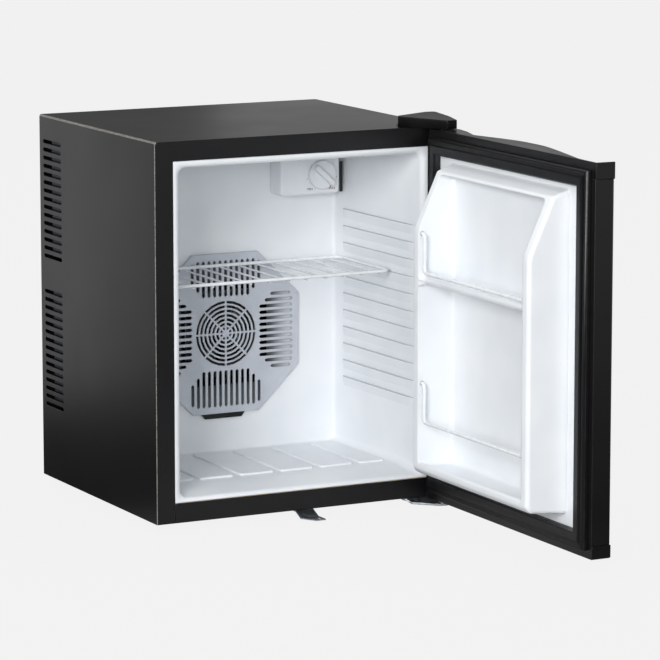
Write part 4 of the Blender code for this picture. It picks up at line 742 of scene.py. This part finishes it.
hingeCap = {"low": 0.4703, "height": 0.0149, "fall": 0.0042, "wall": 0.0018, "round": 0.0012,
            "middle": (0.178, 0.0), "mirror": 0.2,
            "plan": [(0.1360, 0.0075), (0.1790, -0.0400), (0.1805, -0.0410), (0.1918, -0.0410),
                     (0.1938, -0.0390), (0.1988, -0.0120), (0.1988, 0.0240), (0.1970, 0.0270),
                     (0.1860, 0.0285), (0.1385, 0.0125)]}


def makeHingeCap():
    plan = hingeCap["plan"]
    middle = Vector(hingeCap["middle"])
    rings = []
    deepest, shallowest = max(y for x, y in plan), min(y for x, y in plan)
    steps = [(0.0, 0.0)]
    for step in range(5):
        turn = math.radians(90 * step / 4)
        steps.append((hingeCap["round"] * (1 - math.sin(turn)), hingeCap["round"] * (1 - math.cos(turn))))
    for number, (below, inset) in enumerate(steps):
        ring = []
        for x, depth in plan:
            inward = (middle - Vector((x, depth))).normalized() * inset
            fall = hingeCap["fall"] * (deepest - depth) / (deepest - shallowest)
            z = hingeCap["low"] + (0.0 if number == 0 else hingeCap["height"] - fall - below)
            ring.append((x + inward.x, atDepth(depth + inward.y), z))
        rings.append(ring)
    work = bmesh.new()
    loft(work, rings)
    work.verts.ensure_lookup_table()
    work.faces.new(work.verts[-len(plan):])
    bmesh.ops.recalc_face_normals(work, faces=work.faces)
    return addPiece("top_hinge_cap", work, "black_plastic", "cabinet", ("top_hinge_cover",), 30,
                    thickness=hingeCap["wall"], finish=makeBlackAbs("hinge_cap_abs", hingeCap["mirror"]))


makeHingeCap()


# Marks round the thermostat's dial, and a black plate beside its housing: painted shade for the dark gap
# there

dialMarks = {"face": 0.0195, "lettering": [("MIN", 0.1092, 0.3712), ("MAX", 0.1412, 0.3708)],
             "letterSize": 0.0044,
             "ticks": [(0.1055, 0.3860), (0.1165, 0.3722), (0.1372, 0.3722), (0.1478, 0.3870)],
             "tick": (0.0013, 0.0007), "centre": (0.1262, 0.3906), "dot": (0.1356, 0.3755),
             "dotRadius": 0.0009, "dotFace": 0.0136, "thickness": 0.00012}
sideGapShade = {"x": (0.1531, 0.1572), "z": (0.3668, 0.4062), "y": (0.0212, 0.0222), "corner": 0.0006}
inkFinish = makeInk("grey_pad_print", "2c2f33", "3a3d42")
redFinish = makeInk("red_pad_print", "b02530", "c23640")


def makeDialMarks():
    face, thick = dialMarks["face"], dialMarks["thickness"]
    for number, (word, x, z) in enumerate(dialMarks["lettering"]):
        curve = bpy.data.curves.new("dial_word_%d" % number, "FONT")
        curve.body = word
        curve.size = dialMarks["letterSize"]
        curve.align_x = "CENTER"
        curve.extrude = thick / 2
        curve.materials.append(inkFinish)
        piece = bpy.data.objects.new("dial_word_%d" % number, curve)
        piece.location = (x, face - thick, z)
        piece.rotation_euler = (math.radians(90), 0, 0)
        scene.collection.objects.link(piece)
        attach(piece, bodyOf["thermostat_housing"])
    work = bmesh.new()
    long, wide = dialMarks["tick"]
    centre = Vector(dialMarks["centre"])
    for x, z in dialMarks["ticks"]:
        along = (Vector((x, z)) - centre).normalized()
        across = Vector((-along.y, along.x))
        rings = []
        for y in (face + 0.00005, face - thick):
            ring = []
            for cornerX, cornerZ in roundedLoop(-long / 2, -wide / 2, long / 2, wide / 2, wide * 0.3, 2):
                spot = Vector((x, z)) + along * cornerX + across * cornerZ
                ring.append((spot.x, y, spot.y))
            rings.append(ring)
        loft(work, rings, capped=True)
    bmesh.ops.recalc_face_normals(work, faces=work.faces)
    addPiece("dial_ticks", work, slotOf["thermostat_housing"], bodyOf["thermostat_housing"],
             finish=inkFinish)
    work = bmesh.new()
    x, z = dialMarks["dot"]
    rings = []
    for y, radius in ((dialMarks["dotFace"] + 0.0001, 1.0), (dialMarks["dotFace"] - thick / 2, 1.0),
                      (dialMarks["dotFace"] - thick, 0.7)):
        ring = []
        for step in range(16):
            turn = math.radians(22.5 * step)
            ring.append((x + dialMarks["dotRadius"] * radius * math.cos(turn), y,
                         z + dialMarks["dotRadius"] * radius * math.sin(turn)))
        rings.append(ring)
    loft(work, rings, capped=True)
    bmesh.ops.recalc_face_normals(work, faces=work.faces)
    addPiece("dial_index_dot", work, slotOf["thermostat_knob"], bodyOf["thermostat_knob"], finish=redFinish)


def makeSideGapShade():
    # a black plate that stands for the shade in the gap beside the housing
    (left, right), (low, high) = sideGapShade["x"], sideGapShade["z"]
    outline = roundedLoop(left, low, right, high, sideGapShade["corner"], 3)
    work = bmesh.new()
    loft(work, [[(x, y, z) for x, z in outline] for y in sideGapShade["y"]], capped=True)
    bmesh.ops.recalc_face_normals(work, faces=work.faces)
    addPiece("thermostat_gap_shade", work, "black_plastic", "cabinet")


makeDialMarks()
makeSideGapShade()
print("dial is marked")


# Stage, lamps and camera

stage = {"size": 60, "middle": (0, 20), "level": -0.0130, "paper": "f2f2f2", "strength": 1.04, "seen": 0.94,
         "albedo": "a0a0a0",  # below: what the floor shows to mirrors, at a distance in metres and a level; near the object this is painted shadow, ahead and to the right painted light
         "mirrorNear": (0.5, 0.05), "mirrorFar": (3.0, 0.22),
         "frontPlace": (0.0, -0.35, -0.013), "frontNear": (0.1, 0.50), "frontFar": (0.5, 0.0),
         "rightNear": (0.7, 0.0), "rightFar": (2.0, 0.85)}


def makeStage():
    work = bmesh.new()
    bmesh.ops.create_grid(work, x_segments=1, y_segments=1, size=stage["size"])
    mesh = bpy.data.meshes.new("studio_floor")
    work.to_mesh(mesh)
    work.free()
    floor = bpy.data.objects.new("studio_floor", mesh)
    floor.location = (*stage["middle"], stage["level"])
    scene.collection.objects.link(floor)
    material = bpy.data.materials.new("pale_studio_paper")
    material.use_nodes = True
    tree = material.node_tree
    tree.nodes.clear()
    paper = addNode(tree, "BsdfDiffuse", {"Color": linear(stage["albedo"])})
    path = addNode(tree, "LightPath").outputs
    sharp = addNode(tree, "Math", {0: path["Is Glossy Ray"], 1: path["Is Transmission Ray"]},
                    operation="MAXIMUM").outputs[0]
    # what mirrors see of the floor: painted shadow near the object, and painted light ahead of it and to
    # its right
    place = addNode(tree, "NewGeometry").outputs["Position"]
    away = addNode(tree, "VectorMath", {0: place}, operation="LENGTH").outputs["Value"]
    (near, low), (far, high) = stage["mirrorNear"], stage["mirrorFar"]
    nearFloorShadow = addNode(tree, "MapRange", {"Value": away, "From Min": near, "From Max": far, "To Min": low,
                                      "To Max": high})
    ahead = addNode(tree, "VectorMath", {0: place, 1: stage["frontPlace"]},
                    operation="DISTANCE").outputs["Value"]
    (near, high), (far, low) = stage["frontNear"], stage["frontFar"]
    front = addNode(tree, "MapRange", {"Value": ahead, "From Min": near, "From Max": far, "To Min": high,
                                       "To Max": low})
    across = addNode(tree, "SeparateXYZ", {"Vector": place}).outputs["X"]
    (near, low), (far, high) = stage["rightNear"], stage["rightFar"]
    right = addNode(tree, "MapRange", {"Value": across, "From Min": near, "From Max": far, "To Min": low,
                                       "To Max": high})
    bright = addNode(tree, "Math", {0: nearFloorShadow.outputs["Result"], 1: front.outputs["Result"]},
                     operation="MAXIMUM").outputs[0]
    bright = addNode(tree, "Math", {0: bright, 1: right.outputs["Result"]}, operation="MAXIMUM").outputs[0]
    level = addNode(tree, "Mix", {0: sharp, 2: stage["strength"], 3: bright}).outputs[0]
    glow = addNode(tree, "Emission", {"Color": linear(stage["paper"]), "Strength": level})
    seen = addNode(tree, "Math", {0: path["Is Camera Ray"], 1: stage["seen"]},
                   operation="MULTIPLY").outputs[0]
    share = addNode(tree, "Math", {0: seen, 1: sharp}, operation="MAXIMUM").outputs[0]
    mix = addNode(tree, "MixShader", {0: share, 1: paper.outputs[0], 2: glow.outputs[0]})
    addNode(tree, "OutputMaterial", {"Surface": mix.outputs[0]})
    mesh.materials.append(material)


lamps = [  # name, place, target, size, watts
    ("key_softbox", (-2.9, -3.1, 1.45), (0.05, -0.15, 0.22), (1.75, 1.75), 135),
    ("fill_softbox", (-1.0, -4.0, 0.75), (0.0, 0.0, 0.25), (1.2, 1.2), 24),
    ("top_softbox", (0.2, 0.3, 3.2), (0, 0, 0.3), (2.4, 2.4), 34),
    ("side_strip", (-0.47, 0.72, 0.29), (-0.2, 0.05, 0.29), (0.20, 0.60), 0.30),
    ("back_softbox", (1.15, 1.35, 0.74), (0.1, 0.0, 0.47), (1.0, 0.45), 0.6),
]


def addLamp(name, place, target, size, watts):
    data = bpy.data.lights.new(name, "AREA")
    data.shape = "RECTANGLE"
    data.size, data.size_y = size
    data.energy = watts
    lamp = bpy.data.objects.new(name, data)
    lamp.location = place
    lamp.visible_camera = False
    lamp.rotation_euler = (Vector(target) - Vector(place)).to_track_quat("-Z", "Y").to_euler()
    scene.collection.objects.link(lamp)


makeStage()
for lampSettings in lamps:
    addLamp(*lampSettings)

sky = {"ambient": 0.46, "mirrored": 0.18, "paper": "f2f2f2"}
world = bpy.data.worlds.new("studio_world")
scene.world = world
world.use_nodes = True
worldTree = world.node_tree
worldTree.nodes.clear()
rays = addNode(worldTree, "LightPath").outputs
skyLevel = addNode(worldTree, "Mix", {0: rays["Is Glossy Ray"], 2: sky["ambient"],
                                      3: sky["mirrored"]}).outputs[0]
ambient = addNode(worldTree, "Background", {"Color": linear("ffffff"), "Strength": skyLevel})
backdrop = addNode(worldTree, "Background", {"Color": linear(sky["paper"]), "Strength": 1.0})
mixed = addNode(worldTree, "MixShader", {0: rays["Is Camera Ray"], 1: ambient.outputs[0],
                                         2: backdrop.outputs[0]})
addNode(worldTree, "OutputWorld", {"Surface": mixed.outputs[0]})

view = {"sensor": 36, "focal": 207.18, "farthest": 200, "place": (-2.0895, -4.3004, 1.0014),
        "down": 9.515, "right": 27.28}  # how far it looks down and to the right, in degrees
lens = bpy.data.cameras.new("photo_camera")
lens.sensor_fit = "HORIZONTAL"
lens.sensor_width = view["sensor"]
lens.lens = view["focal"]
lens.clip_end = view["farthest"]
camera = bpy.data.objects.new("photo_camera", lens)
camera.location = view["place"]
camera.rotation_euler = (math.radians(90 - view["down"]), 0, math.radians(-view["right"]))
scene.collection.objects.link(camera)
scene.camera = camera
scene.view_settings.view_transform = "Standard"
print("stage, lamps and camera are set")

bpy.context.view_layer.update()
